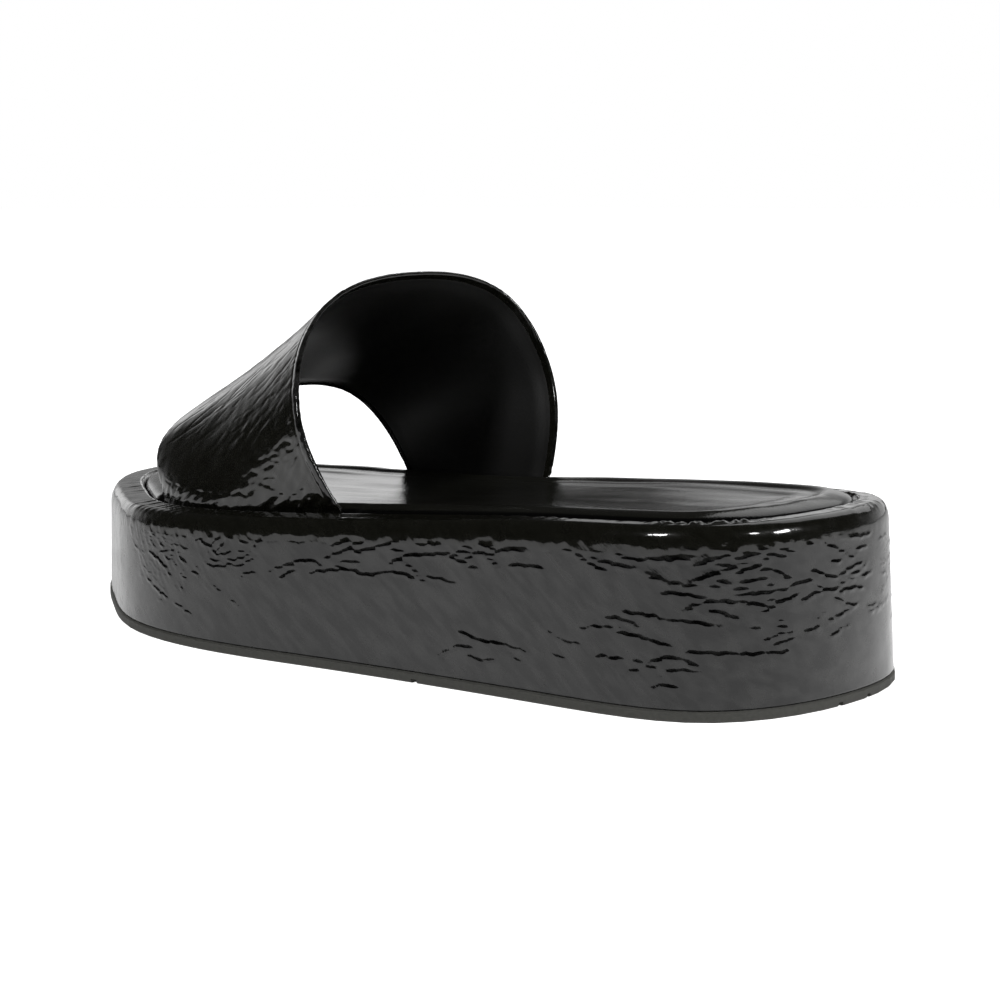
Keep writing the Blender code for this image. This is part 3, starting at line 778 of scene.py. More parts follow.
def crease_wall(grid):
    """Move the wall and the roll along their normals by a fraction of a millimetre, and keep the creases."""
    normals = grid_normals(grid, closed=True)
    along = np.broadcast_to(wrap_along[None, :], grid.shape[:2])
    creases = wall_creases(grid, along)
    waves = RIPPLE_DEPTH * (ripples(grid, 9.0, seed=5) + 0.35 * ripples(grid, 4.0, seed=6))
    row = np.arange(len(grid))[:, None]
    ragged = RAGGED_DEPTH * (ripples(grid, 3.2, seed=7) + 0.6 * ripples(grid, 1.8, seed=8))
    ragged = ragged * np.exp(-((row - ROLL_START - 1.0) / RAGGED_ROWS) ** 2)
    ragged = ragged * np.interp(along, *RAGGED_STRETCH)
    wall = soft_step(row, WALL_START, WALL_START + 8.0) * (1 - soft_step(row, ROLL_END - 8.0, ROLL_END - 1.0))
    below_roll = 1 - soft_step(row, ROLL_START - 2.0, ROLL_START + 5.0)
    moved = wall * (waves + ragged - np.interp(along, *CREASE_DEPTH) * creases * below_roll)
    return grid + normals * moved[:, :, None], np.clip(creases * below_roll, 0.0, 1.0)


creased_wrap, crease_depths = crease_wall(wrap)
print("deepest crease:", round(float(np.linalg.norm(creased_wrap - wrap, axis=2).max()), 2), "mm")

# %% [markdown]
# ## Gathers on the rolled edge
#
# Where leather turns round an outer curve there is too much of it on the inside, and it puckers into small
# gathers along the groove. A cloth simulation would pucker too, but not in the places that the photo shows.
# They repeat along a path, so a Geometry Nodes tree makes them: it reads the path point that each vertex
# belongs to, looks up noise there and moves the vertex along its normal. The same tree later crinkles the
# turned edges of the band.

# %% The gathers tree
GATHER_INPUTS = (("Geometry", "Geometry"), ("Depth", "Float"), ("Spacing", "Float"), ("Seed", "Float"),
                 ("Finish", "Material"))
FOLD_FROM = (0.36, 0.60)
FOLD_TO = (-1.0, 0.25)


def make_gathers_tree():
    """Node tree that moves points along their normals by noise that follows a path."""
    tree = bpy.data.node_groups.new("gathers along a path", "GeometryNodeTree")
    for name, kind in GATHER_INPUTS:
        tree.interface.new_socket(name, in_out="INPUT", socket_type="NodeSocket" + kind)
    tree.interface.new_socket("Geometry", in_out="OUTPUT", socket_type="NodeSocketGeometry")
    given = add(tree, "NodeGroupInput").outputs
    path = add(tree, "GeometryNodeInputNamedAttribute", {"Name": "path"}, data_type="FLOAT_VECTOR")
    mask = add(tree, "GeometryNodeInputNamedAttribute", {"Name": "gather"}, data_type="FLOAT")
    waves = add(tree, "ShaderNodeTexNoise", {
        "Vector": path.outputs["Attribute"],
        "W": given["Seed"],
        "Scale": maths(tree, "DIVIDE", 1.0, given["Spacing"]),
        "Detail": 1.0,
    }, noise_dimensions="4D")
    fold = remap(tree, waves.outputs["Fac"], *FOLD_FROM, *FOLD_TO)
    masked = maths(tree, "MULTIPLY", fold, mask.outputs["Attribute"])
    depth = maths(tree, "MULTIPLY", masked, given["Depth"])
    normal = add(tree, "GeometryNodeInputNormal").outputs["Normal"]
    scaled = add(tree, "ShaderNodeVectorMath", {0: normal, "Scale": depth}, operation="SCALE")
    offset = scaled.outputs["Vector"]
    move = add(tree, "GeometryNodeSetPosition", {"Geometry": given["Geometry"], "Offset": offset})
    real = add(tree, "GeometryNodeRealizeInstances", {"Geometry": move.outputs["Geometry"]})
    finish = {"Geometry": real.outputs["Geometry"], "Material": given["Finish"]}
    dressed = add(tree, "GeometryNodeSetMaterial", finish)
    add(tree, "NodeGroupOutput", {"Geometry": dressed.outputs["Geometry"]})
    return tree


def apply_tree(piece, tree, **inputs):
    """Run a node tree on a piece and keep the result as its plain mesh."""
    modifier = piece.modifiers.new(tree.name, "NODES")
    modifier.node_group = tree
    for socket in tree.interface.items_tree:
        if socket.in_out == "INPUT" and socket.name in inputs:
            modifier[socket.identifier] = inputs[socket.name]
    depsgraph = bpy.context.evaluated_depsgraph_get()
    mesh = bpy.data.meshes.new_from_object(piece.evaluated_get(depsgraph))
    piece.modifiers.clear()
    piece.data = mesh
    mesh.name = piece.name


GATHERS = make_gathers_tree()
print("gathers tree:", len(GATHERS.nodes), "nodes")

# %% The finished wrap
GATHER_DEPTH = 0.00022
GATHER_SPACING = 1.8
GATHER_EVERYWHERE = 0.10
PLEAT_SLANT = 0.10
CREASE_SHADE = (0.10, 0.60)
GatherStretch = namedtuple("GatherStretch", "place start end inner over")
GATHER_STRETCHES = (
    GatherStretch("heel curve, zigzag", 24.0, 54.0, 1.9, 0.10),
    GatherStretch("waist, small teeth", 80.0, 104.0, 0.8, 0.0),
    GatherStretch("outer toe, ticks over the roll", 176.0, 232.0, 0.6, 0.30),
    GatherStretch("tip of the toe", 250.0, 380.0, 0.7, 0.25),
    GatherStretch("inner waist", 470.0, 500.0, 0.6, 0.0),
    GatherStretch("heel tip, slanted pleats", 585.0, 632.0, 0.7, 0.35),
)


def gather_mask(rows):
    """How much the wrap puckers: a little on all its inner slope, and more in the stretches of the table."""
    row = np.arange(rows)[:, None].astype(float)
    inner = soft_step(row, ROLL_START + ROLL_ROWS - 3.0, ROLL_START + ROLL_ROWS + 5.0) * (row <= ROLL_END)
    over = soft_step(row, ROLL_START + 0.2 * ROLL_ROWS, ROLL_START + 0.8 * ROLL_ROWS) * (row <= ROLL_END)
    mask = GATHER_EVERYWHERE * inner * np.ones((1, WRAP_COLUMNS))
    for stretch in GATHER_STRETCHES:
        begun = soft_step(wrap_along, stretch.start - 6, stretch.start + 2)
        here = begun * (1 - soft_step(wrap_along, stretch.end - 2, stretch.end + 6))
        mask = np.maximum(mask, here[None, :] * np.maximum(inner * stretch.inner, over * stretch.over))
    return mask


def make_wrap():
    """Mesh of the wrap, with the gathers on its roll."""
    rows, columns = creased_wrap.shape[:2]
    faces = grid_faces(rows, columns, closed=True)
    faces.append(list(range(columns))[::-1])
    faces.append([(rows - 1) * columns + k for k in range(columns)])
    piece = make_piece("platform_wrap", creased_wrap, faces, PATENT_WALL)
    path = np.zeros((rows, columns, 3))
    for row in range(rows):
        slanted = wrap_along + PLEAT_SLANT * max(row - ROLL_START, 0)
        path[row, :, :2] = outline(shares_at(slanted % PERIMETER) % 1.0)
    store(piece, "path", "FLOAT_VECTOR", path)
    store(piece, "gather", "FLOAT", gather_mask(rows))
    wall_face = 1 - soft_step(np.arange(rows)[:, None], ROLL_START - 6.0, ROLL_START + 2.0)
    store(piece, "streaked", "FLOAT", wall_face * np.ones((1, columns)))
    # painted shade in the creases: the deeper the crease, the darker its painted colour
    store(piece, "creased", "FLOAT", soft_step(crease_depths, *CREASE_SHADE))
    apply_tree(piece, GATHERS, Depth=GATHER_DEPTH, Spacing=GATHER_SPACING, Seed=4.0, Finish=PATENT_WALL)
    return piece


platform_wrap = make_wrap()
report(platform_wrap)

# %% [markdown]
# ## The footbed
#
# The footbed is a thin foam pad in semi-gloss leather. It has a fat rounded rim, a line pressed into it about
# nine millimetres inside, and a panel that is slightly dished. Cloth simulation would swell it into a
# cushion, which it isn't: the leather is glued to a stiff board. So it is lofted from rings, like the wrap,
# with a profile that is drawn. Its edge steps back beside the feet of the band, and its low side in the
# groove is marked, so that the finish can darken it with painted shade.

# %% Profile of the footbed
BAND_WALL = 1.8
BAND_FOOT_CLEARANCE = 0.4
BAND_FEET = {1: (-60.6, 10.2), -1: (-47.2, 9.3)}
RECESS_MARGIN = 3.2
RECESS_RAMP = 5.0
PadStep = namedtuple("PadStep", "place in_from_edge rise")
PAD_PROFILE = (
    PadStep("edge in the groove", 0.0, -3.2),
    PadStep("edge", 0.0, -1.3),
    PadStep("rim, side", 0.45, -0.25),
    PadStep("rim, shoulder", 1.6, 0.58),
    PadStep("rim, top of the shoulder", 3.4, 1.24),
    PadStep("rim, near the top", 5.0, 1.60),
    PadStep("rim, top", 6.2, 1.66),
    PadStep("rim, inner slope", 7.6, 1.46),
    PadStep("pressed line", 9.2, 1.06),
    PadStep("inner panel", 12.0, 0.92),
    PadStep("panel", 16.0, 0.60),
)


def pad_edge(shares):
    """Inset of the footbed's edge, stepped back beside the feet of the band."""
    tight = ROLL_INNER + GAP
    step = BAND_FOOT_CLEARANCE + BAND_WALL
    groove = outline(shares, ROLL_INNER)
    inset = np.full(len(groove), tight)
    for side, (front, rear) in BAND_FEET.items():
        front = front - CENTRE[1] - RECESS_MARGIN - RECESS_RAMP
        rear = rear - CENTRE[1] + RECESS_MARGIN + RECESS_RAMP
        before = soft_step(groove[:, 1], front, front + RECESS_RAMP)
        after = 1 - soft_step(groove[:, 1], rear - RECESS_RAMP, rear)
        inset = np.maximum(inset, tight + step * before * after * (groove[:, 0] * side > 0))
    return inset


print("profile steps:", [step.place for step in PAD_PROFILE])

# %% Mesh of the footbed
PAD_COLUMNS = 420
PAD_ROWS = 64
PAD_DISH = 0.55
DISH_STEPS = (0.9, 0.78, 0.64, 0.5, 0.36, 0.22, 0.1)
UNEVEN_ROWS = (16.0, 30.0)
# heights over the deck across which the painted groove shade fades out
GROOVE_SHADE_HEIGHT = (0.35, 0.75)


def pad_rings(shares):
    """Rings of the footbed, from the middle of its underside over the rim to the middle of its panel."""
    edge = pad_edge(shares)
    plain = np.full(len(edge), ROLL_INNER + GAP)
    table = [(step.in_from_edge, step.rise) for step in PAD_PROFILE]
    curve = smooth_curve(table, np.linspace(0.0, 1.0, PAD_ROWS))
    underside = GAP - SEAT_DEPTH
    rings = []
    for factor in reversed(SHRINK_STEPS):
        rings.append(shrunk_ring(shares, edge, factor, lambda y: deck(y) + underside))
    panel_inset, panel_rise = curve[-1]
    for inward, rise in curve:
        inset = max(inward, 0.0)
        stepped = plain + (edge - plain) * (1 - inset / panel_inset) ** 2
        rings.append(sole_ring(shares, stepped + inset, lambda y: deck(y) + rise))
    for factor in DISH_STEPS:
        dished = panel_rise - PAD_DISH * (1 - factor ** 2)
        rings.append(shrunk_ring(shares, plain + panel_inset, factor, lambda y: deck(y) + dished))
    return np.array(rings)


def make_footbed():
    """Closed pad through the rings, with a soft unevenness on top."""
    grid = pad_rings(shares_at(places_round(PAD_COLUMNS, ((0.0, PERIMETER), (1.0, 1.0)))))
    rows, columns = grid.shape[:2]
    row = np.arange(rows)[:, None]
    long = grid * (1.0, 0.16, 0.0)
    uneven = 0.05 * ripples(grid, 26.0, seed=21) + 0.030 * ripples(long, 7.0, seed=22)
    grid[:, :, 2] += soft_step(row, *UNEVEN_ROWS) * uneven
    faces = grid_faces(rows, columns, closed=True)
    faces += strip_across(list(range(columns))[::-1])
    faces += strip_across([(rows - 1) * columns + k for k in range(columns)])
    piece = make_piece("footbed_pad", grid, faces, FOOTBED_LEATHER)
    above = grid[:, :, 2] - deck(grid[:, :, 1])
    near_edge = row < len(SHRINK_STEPS) + PAD_ROWS // 2
    # painted shade: marks the edge low in the groove, which the finish paints near black
    store(piece, "groove", "FLOAT", near_edge * (1 - soft_step(above, *GROOVE_SHADE_HEIGHT)))
    return piece


footbed_pad = make_footbed()
report(footbed_pad)

# %% [markdown]
# ## The band
#
# The band is one piece of patent leather with its edges turned in, and a lining glued inside it. It could be
# a bent sheet with a thickness, but its shape follows a rule: three sections, at the toe opening, in the
# middle and at the heel opening, are blended along the foot, and each leans toward the toe as it rises. The
# sections are the same as in the solid, read more finely. The patent and the lining are two closed shells on
# that surface, and the lining thins out toward its edges, as skived leather does.

# %% Sections of the band
BAND_FOOT_RISE = 0.5
BandRow = namedtuple("BandRow", "outer_foot_y inner_foot_y outer_side outer_shoulder crown"
                                " inner_shoulder inner_side lean lean_growth")
BAND_FRONT = BandRow(-60.6, -47.2, (40.0, 45.0), (28.2, 54.3), (-10.0, 61.0),
                     (-32.1, 56.2), (-37.6, 47.2), 0.55, 0.0)
BAND_MIDDLE = BandRow(-25.2, -19.0, (43.9, 50.8), (31.7, 65.6), (-11.5, 75.4),
                      (-38.6, 67.6), (-43.4, 55.4), 0.50, 0.0005)
BAND_REAR = BandRow(10.2, 9.3, (48.3, 57.5), (36.3, 79.0), (-12.9, 93.4),
                    (-46.6, 82.2), (-50.0, 65.0), 0.45, 0.0009)
ARCH_POINTS = 390
DROP_POINTS = 6
BAND_ROWS = 108
ARCH_SPACING = ((0.0, 0.6, 0.75, 1.0), (1.0, 1.0, 1.6, 1.6))
BACK_EVEN = 0.55
arch_fine = np.linspace(0.0, 1.0, 1000)
arch_steps = np.cumsum(1.0 / np.interp(arch_fine, *ARCH_SPACING))
ARCH_SHARES = np.interp(np.linspace(arch_steps[0], arch_steps[-1], ARCH_POINTS), arch_steps, arch_fine)


def foot_top(foot_y, side):
    """Where a foot of the band comes out of the groove."""
    x = float(side_x(foot_y, ROLL_INNER + BAND_FOOT_CLEARANCE, side))
    return np.array([x, float(deck(foot_y)) + BAND_FOOT_RISE])


def band_section(share):
    """Points of one section, from the outer foot over the crown to the inner foot."""
    weights = ((1 - share) * (1 - 2 * share), 4 * share * (1 - share), share * (2 * share - 1))
    columns = []
    for values in zip(BAND_FRONT, BAND_MIDDLE, BAND_REAR):
        columns.append(sum(weight * np.array(value) for weight, value in zip(weights, values)))
    row = BandRow(*columns)
    feet = (foot_top(row.outer_foot_y - CENTRE[1], 1), foot_top(row.inner_foot_y - CENTRE[1], -1))
    shift = np.array([CENTRE[0], 0.0])
    arch = [row.outer_side, row.outer_shoulder, row.crown, row.inner_shoulder, row.inner_side]
    curve = smooth_curve([feet[0], *[point - shift for point in arch], feet[1]], ARCH_SHARES)
    foot_y = row.outer_foot_y + (row.inner_foot_y - row.outer_foot_y) * ARCH_SHARES - CENTRE[1]
    rise = curve[:, 1] - feet[0][1] - (feet[1][1] - feet[0][1]) * ARCH_SHARES
    y = foot_y - row.lean * rise - row.lean_growth * rise ** 2
    points = np.column_stack([curve[:, 0], y, curve[:, 1]])
    drop = np.zeros((DROP_POINTS, 3))
    drop[:, 2] = np.linspace(BAND_FOOT_RISE + SEAT_DEPTH - GAP, 0.0, DROP_POINTS, endpoint=False)
    return np.vstack([points[0] - drop, points, points[-1] - drop[::-1]])


def lengths_along(grid, axis):
    """Lengths over a grid of points from its first row, or from its first column."""
    lengths = np.cumsum(np.linalg.norm(np.diff(grid, axis=axis), axis=2), axis=axis)
    return np.concatenate([np.zeros_like(lengths[:1] if axis == 0 else lengths[:, :1]), lengths], axis=axis)


back_steps = np.linspace(0.0, 1.0, BAND_ROWS)
back_shares = BACK_EVEN * back_steps + (1 - BACK_EVEN) * (0.5 - 0.5 * np.cos(math.pi * back_steps))
band = np.array([band_section(share) for share in back_shares])
BAND_ACROSS = lengths_along(band, axis=1)
BAND_BACK = lengths_along(band, axis=0)
print("band in mm over the foot: front", BAND_ACROSS[0, -1].round(), "and rear", BAND_ACROSS[-1, -1].round())

# %% Creases of the band
BAND_CREASES = [Crease(*row) for row in (
    (32, 6.6, 1.4, 0.0, 0.0, 1.0), (65, 7.0, 1.1, 0.4, 0.0, 0.7), (24, 7.1, 4.2, -0.4, 0.4, 1.0),
    (35, 7.1, 1.0, 0.3, 0.0, 0.8), (55, 7.4, 2.0, -0.4, 0.0, 0.3), (60, 7.5, 2.3, -0.6, 0.2, 0.4),
    (40, 7.7, 3.1, -0.1, -1.1, 1.0), (12, 8.2, 2.8, 0.1, -1.3, 0.8), (30, 8.3, 1.4, -0.1, 0.0, 0.2),
    (7, 8.7, 2.0, -0.3, -0.3, 0.4), (16, 8.8, 1.1, 0.1, 0.0, 0.2), (52, 9.5, 2.1, -0.8, 0.6, 0.4),
    (9, 10.6, 1.4, -0.6, 0.0, 0.3), (17, 12.3, 2.3, 2.1, 0.0, 0.4), (52, 12.4, 3.3, 0.7, -1.3, 1.0),
    (47, 13.4, 1.1, -0.6, 0.0, 1.0), (52, 14.9, 1.2, 0.8, 0.0, 1.0), (54, 15.5, 1.3, 0.2, 0.0, 1.0),
    (56, 16.7, 1.7, -0.1, 0.0, 1.0), (63, 16.8, 2.6, 2.5, 0.6, 0.7), (51, 16.9, 1.7, 0.5, 0.0, 0.7),
    (61, 17.4, 1.6, 0.5, 0.0, 1.0), (26, 17.4, 1.4, -0.7, 0.0, 0.2), (29, 17.5, 3.4, 3.4, -1.0, 0.4),
    (35, 18.0, 1.3, 0.1, 0.0, 0.2), (55, 18.2, 2.3, 1.2, -1.1, 1.0), (53, 19.6, 1.1, 0.1, 0.0, 0.2),
    (28, 19.8, 1.0, 0.7, 0.0, 0.3), (64, 20.5, 2.6, 2.4, 1.9, 0.8), (60, 21.7, 3.9, 1.5, -1.3, 1.0),
    (58, 22.3, 1.0, 0.8, 0.0, 0.3), (46, 23.7, 1.2, -0.7, 0.0, 0.3), (32, 23.8, 2.9, 3.3, -0.2, 0.3),
    (26, 24.0, 2.2, 1.8, 0.3, 0.5), (20, 24.2, 1.0, 0.4, 0.0, 0.3), (57, 24.5, 1.9, -0.1, 0.0, 0.2),
    (38, 24.8, 2.4, 1.9, 1.4, 0.4), (48, 25.9, 1.1, -0.2, 0.0, 0.4), (42, 26.3, 1.5, 0.7, 0.0, 0.3),
    (61, 29.1, 1.9, 0.7, 0.0, 0.4), (44, 29.1, 2.9, 0.4, -0.4, 0.3), (64, 29.4, 1.2, -0.9, 0.0, 0.3),
    (54, 30.6, 1.1, -0.3, 0.0, 0.4), (60, 31.2, 1.0, 1.1, 0.0, 0.7), (45, 31.6, 1.6, -0.3, 0.0, 0.3),
    (55, 33.4, 1.4, -0.2, 0.0, 0.3), (35, 33.6, 1.4, 1.2, 0.0, 0.4), (53, 34.3, 3.4, 1.7, -1.3, 1.0),
    (14, 35.7, 3.7, 2.4, -0.4, 0.3), (40, 36.7, 2.7, 2.0, -0.6, 0.3), (47, 37.4, 5.4, 3.7, 1.0, 0.3),
    (61, 38.1, 1.3, 0.8, 0.0, 0.3), (53, 38.7, 7.6, 6.8, 0.9, 0.8), (26, 40.2, 1.0, 0.2, 0.0, 0.2),
    (65, 40.2, 1.1, -0.3, 0.0, 0.4), (34, 40.9, 5.0, 4.2, -0.8, 0.4), (61, 43.4, 1.0, 0.3, 0.0, 0.4),
    (55, 44.4, 1.0, 0.5, 0.0, 0.3), (46, 48.8, 7.4, 3.6, -0.4, 0.3), (56, 53.8, 3.3, 1.3, 0.4, 0.3),
)]


def thrown_band_creases(first, last, count, seed):
    """More folds of the same kind: they climb from the toe opening toward the heel opening."""
    dice = np.random.default_rng(seed)
    creases = []
    for k in range(count):
        half = dice.uniform(1.5, 6.5)
        slope = dice.normal(0.75, 0.25)
        creases.append(Crease(dice.uniform(5.0, 66.0), dice.uniform(first, last), half, slope * half,
                              dice.normal(0.0, 0.4), dice.uniform(0.1, 0.5)))
    return creases


FRONT_FOLDS = thrown_band_creases(22.0, 75.0, 110, seed=31)
INNER_FOLDS = thrown_band_creases(75.0, 190.0, 130, seed=32)
print("folds measured:", len(BAND_CREASES), "and thrown:", len(FRONT_FOLDS) + len(INNER_FOLDS))


# %% Push the creases into the band
BAND_CREASE_DEPTH = 0.15
BAND_CREASE_WIDTH = 0.38
BAND_CREASE_WIGGLE = 0.18
TUCK_HEIGHT = 5.0
TUCK_DEPTH = 0.7
FOOT_POINTS = 12.0


def hump(values, middle, width):
    """A soft hump of height 1."""
    return np.exp(-((values - middle) / width) ** 2)


def band_swell():
    """Soft swell low on the outer side, the bead of the rear edge, and a front edge that rolls in a bit."""
    swell = 0.45 * hump(BAND_ACROSS, 16.0, 8.0) * soft_step(BAND_BACK, 24.0, 44.0)
    from_rear = BAND_BACK[-1:] - BAND_BACK
    bead = 0.06 * hump(from_rear, 0.6, 0.5) - 0.13 * hump(from_rear, 1.7, 0.34)
    rolled_in = -0.50 * (1 - np.clip(BAND_BACK / 11.0, 0.0, 1.0)) ** 2
    return swell + bead + rolled_in


def band_tuck(flat):
    """The lowest few millimetres turn in toward the groove, along an uneven line."""
    lowest = np.minimum(BAND_ACROSS, BAND_ACROSS[:, -1:] - BAND_ACROSS)
    lowest = lowest - BAND_ACROSS[:, DROP_POINTS:DROP_POINTS + 1]
    height = TUCK_HEIGHT * (1 + 0.30 * ripples(flat, 3.2, seed=36))
    return -TUCK_DEPTH * (1 - np.clip(lowest / height, 0.0, 1.0)) ** 2


def crease_band():
    """How far each point of the band's outer face is pushed in or out."""
    every = BAND_CREASES + FRONT_FOLDS + INNER_FOLDS
    folds = crease_field(every, BAND_BACK, BAND_ACROSS, BAND_CREASE_WIDTH, BAND_CREASE_WIGGLE, seed=33)
    flat = np.dstack([BAND_BACK - BAND_ACROSS, 0.4 * (BAND_BACK + BAND_ACROSS), np.zeros_like(BAND_BACK)])
    waves = 0.020 * ripples(flat, 9.0, seed=34) + 0.012 * ripples(flat, 4.0, seed=35)
    low = soft_step(BAND_BACK, 28.0, 42.0) * (1 - soft_step(BAND_ACROSS, 24.0, 34.0))
    waves += low * (0.034 * ripples(flat, 3.0, seed=37) + 0.013 * ripples(flat, 1.5, seed=38))
    columns = np.arange(band.shape[1])[None, :]
    foot = soft_step(columns, DROP_POINTS, DROP_POINTS + FOOT_POINTS)
    foot = foot * soft_step(columns[:, ::-1], DROP_POINTS, DROP_POINTS + FOOT_POINTS)
    return foot * (waves - BAND_CREASE_DEPTH * folds + band_swell()) + band_tuck(flat)


band_moved = crease_band()
print("band folds move it by up to", round(float(np.abs(band_moved).max()), 2), "mm")

# %% Shells of the band
EDGE_ARC = 7


def band_normals(rows):
    """Normals of a stretch of the band, pointing away from the foot."""
    normals = grid_normals(rows, closed=False)
    if normals[len(rows) // 2, rows.shape[1] // 2, 2] < 0:
        normals = -normals
    return normals


def edge_profile(depth):
    """Half circle that turns a skin of the given depth round an edge: how far out, and how far in."""
    angles = np.linspace(0.0, math.pi, EDGE_ARC + 2)[1:-1]
    return [(depth / 2 * math.sin(angle), depth / 2 * (1 - math.cos(angle))) for angle in angles]


def shell(rows, start, end, moved):
    """Closed loop of rings round a skin between two depths: out along its face, back along its other face."""
    normals = band_normals(rows)
    faces_out = rows + normals * (moved - start)[:, :, None]
    faces_in = rows - normals * end[:, None, None]
    back = np.gradient(rows, axis=0)
    back = back / np.linalg.norm(back, axis=2)[:, :, None]
    rings = list(faces_out)
    for out, inward in edge_profile(end[-1] - start):
        rings.append(faces_out[-1] + back[-1] * out - normals[-1] * inward)
    rings += list(faces_in[::-1])
    for out, inward in reversed(edge_profile(end[0] - start)):
        rings.append(faces_out[0] - back[0] * out - normals[0] * inward)
    return np.array(rings)


def shell_piece(name, rings, material):
    """Closed mesh of a shell: its rings close on themselves, and its two feet are capped."""
    count, columns = rings.shape[:2]
    faces = np.array(grid_faces(count + 1, columns, closed=False)) % (count * columns)
    faces = faces.tolist()
    faces.append([k * columns for k in range(count)][::-1])
    faces.append([k * columns + columns - 1 for k in range(count)])
    return make_piece(name, rings, faces, material)


print("points round each edge of a shell:", len(edge_profile(1.0)))


# %% Patent and lining of the band
PATENT_THICKNESS = 1.15
LINING_GAP = 0.05
LINING_EDGE = 0.12
LINING_EDGE_ROWS = 6.0
EDGE_WIDTH = (0.8, 2.0)
EDGE_STREAKS = 0.8
FOOT_MARGIN = DROP_POINTS + 4
PUCKERS = ((0.04, 0.08, 0.20, 0.26, 0.62, 0.68, 0.78, 0.84), (0.3, 1, 1, 0.3, 0.3, 1, 1, 0.3))


def make_band_patent():
    """The patent shell, with its turned edges crinkled by the gathers tree."""
    rings = shell(band, 0.0, np.full(BAND_ROWS, PATENT_THICKNESS), band_moved)
    piece = shell_piece("band_patent", rings, PATENT_BAND)
    edges = np.zeros(rings.shape[:2])
    from_edge = np.minimum(BAND_BACK, BAND_BACK[-1:] - BAND_BACK)
    edges[:BAND_ROWS] = 1 - soft_step(from_edge, *EDGE_WIDTH)
    edges[BAND_ROWS:BAND_ROWS + EDGE_ARC] = 1.0
    edges[-EDGE_ARC:] = 1.0
    edges[:, :FOOT_MARGIN] = 0.0
    edges[:, -FOOT_MARGIN:] = 0.0
    store(piece, "path", "FLOAT_VECTOR", rings)
    store(piece, "gather", "FLOAT", edges * np.interp(BAND_ACROSS[-1] / BAND_ACROSS[-1, -1], *PUCKERS))
    store(piece, "streaked", "FLOAT", EDGE_STREAKS * edges)
    apply_tree(piece, GATHERS, Depth=0.00006, Spacing=1.6, Seed=9.0, Finish=PATENT_BAND)
    return piece


def make_band_lining():
    """The lining shell inside the patent, thinned out toward both openings."""
    rows = band[4:-4:2]
    start = PATENT_THICKNESS + LINING_GAP
    from_edge = np.minimum(np.arange(len(rows)), np.arange(len(rows))[::-1])
    full = LINING_EDGE + (1 - LINING_EDGE) * soft_step(from_edge, 0.0, LINING_EDGE_ROWS)
    rings = shell(rows, start, start + (BAND_WALL - start) * full, np.zeros(rows.shape[:2]))
    return shell_piece("band_lining", rings, LINING)


band_patent = make_band_patent()
report(band_patent)
band_lining = make_band_lining()
report(band_lining)

# %% [markdown]
# ## Putting it together
#
# Each finished piece rides on the one body of the shoe and stands for its solid. The outsole's solid already
# has the right shape, with its tread and notches, so it stays and only gets the rubber finish.

# %% Bodies and solids
for piece, node in ((platform_wrap, "platform"), (footbed_pad, "footbed"), (band_patent, "upper_band"),
                    (band_lining, "upper_band")):
    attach(piece, "root")
    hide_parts(node)
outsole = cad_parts["outsole"]
outsole.data.materials.clear()
outsole.data.materials.append(RUBBER)
print("pieces in place:", [piece.name for piece in (platform_wrap, footbed_pad, band_patent, band_lining)])

# %% [markdown]
# ## Floor and light
#
# Black patent leather is lit by what it mirrors, and lamps alone would leave it black with a few white spots.
# So the surroundings are drawn as a photographer would set them: a pale floor gives the wall its even grey, a
# bright back wall runs along the edges, with a darker corner behind the toe, and a dark room in front keeps
# the roll black. Small lamps make the sparkles, a soft panel lights the end of the roll at the heel, and a
# low black card behind the shoe, which the camera doesn't see, darkens the footbed.

# %% Floor
AWAY = (-0.77, -0.63, 0.0)
SIDEWAYS = (-0.63, 0.77, 0.0)
FLOOR_RADIUS = 4.0
FLOOR_CORNERS = 96
WHITE = (1.0, 1.0, 1.0, 1.0)


def along_way(tree, vector, way):
    """How far a vector goes along a way."""
    return add(tree, "ShaderNodeVectorMath", {0: vector, 1: way}, operation="DOT_PRODUCT").outputs["Value"]


def white_to_camera(tree, light):
    """A brightness that the camera sees as white, and that everything else sees as it is."""
    return maths(tree, "MAXIMUM", light, add(tree, "ShaderNodeLightPath").outputs["Is Camera Ray"])


def make_floor():
    """A wide pale floor that glows a little, like a lit studio table."""
    material, tree, shader = new_finish("pale studio floor")
    place = add(tree, "ShaderNodeNewGeometry").outputs["Position"]
    glow = remap(tree, along_way(tree, place, AWAY), -0.06, 0.14, 0.39, 0.05)
    fill(tree, shader, {
        "Base Color": (0.86, 0.86, 0.86, 1.0),
        "Roughness": 0.9,
        "Emission Color": WHITE,
        "Emission Strength": white_to_camera(tree, glow),
    })
    turns = np.linspace(0, 2 * math.pi, FLOOR_CORNERS, endpoint=False)
    ring = [(FLOOR_RADIUS * math.cos(turn), FLOOR_RADIUS * math.sin(turn), 0.0) for turn in turns]
    mesh = bpy.data.meshes.new("floor")
    mesh.from_pydata(ring, [], [list(range(FLOOR_CORNERS))])
    mesh.materials.append(material)
    floor = put_in_scene("floor", mesh)
    return floor


floor = make_floor()
print("floor:", floor.dimensions.x, "m wide")

# %% Room
CORNER_SHADE = ((0.10, (1.0, 1.0, 1.0)), (0.34, (0.28, 0.28, 0.28)),
                (0.66, (0.28, 0.28, 0.28)), (0.80, (1.0, 1.0, 1.0)))
ROOM_DARK = 0.014
ROOM_BRIGHT = 0.9


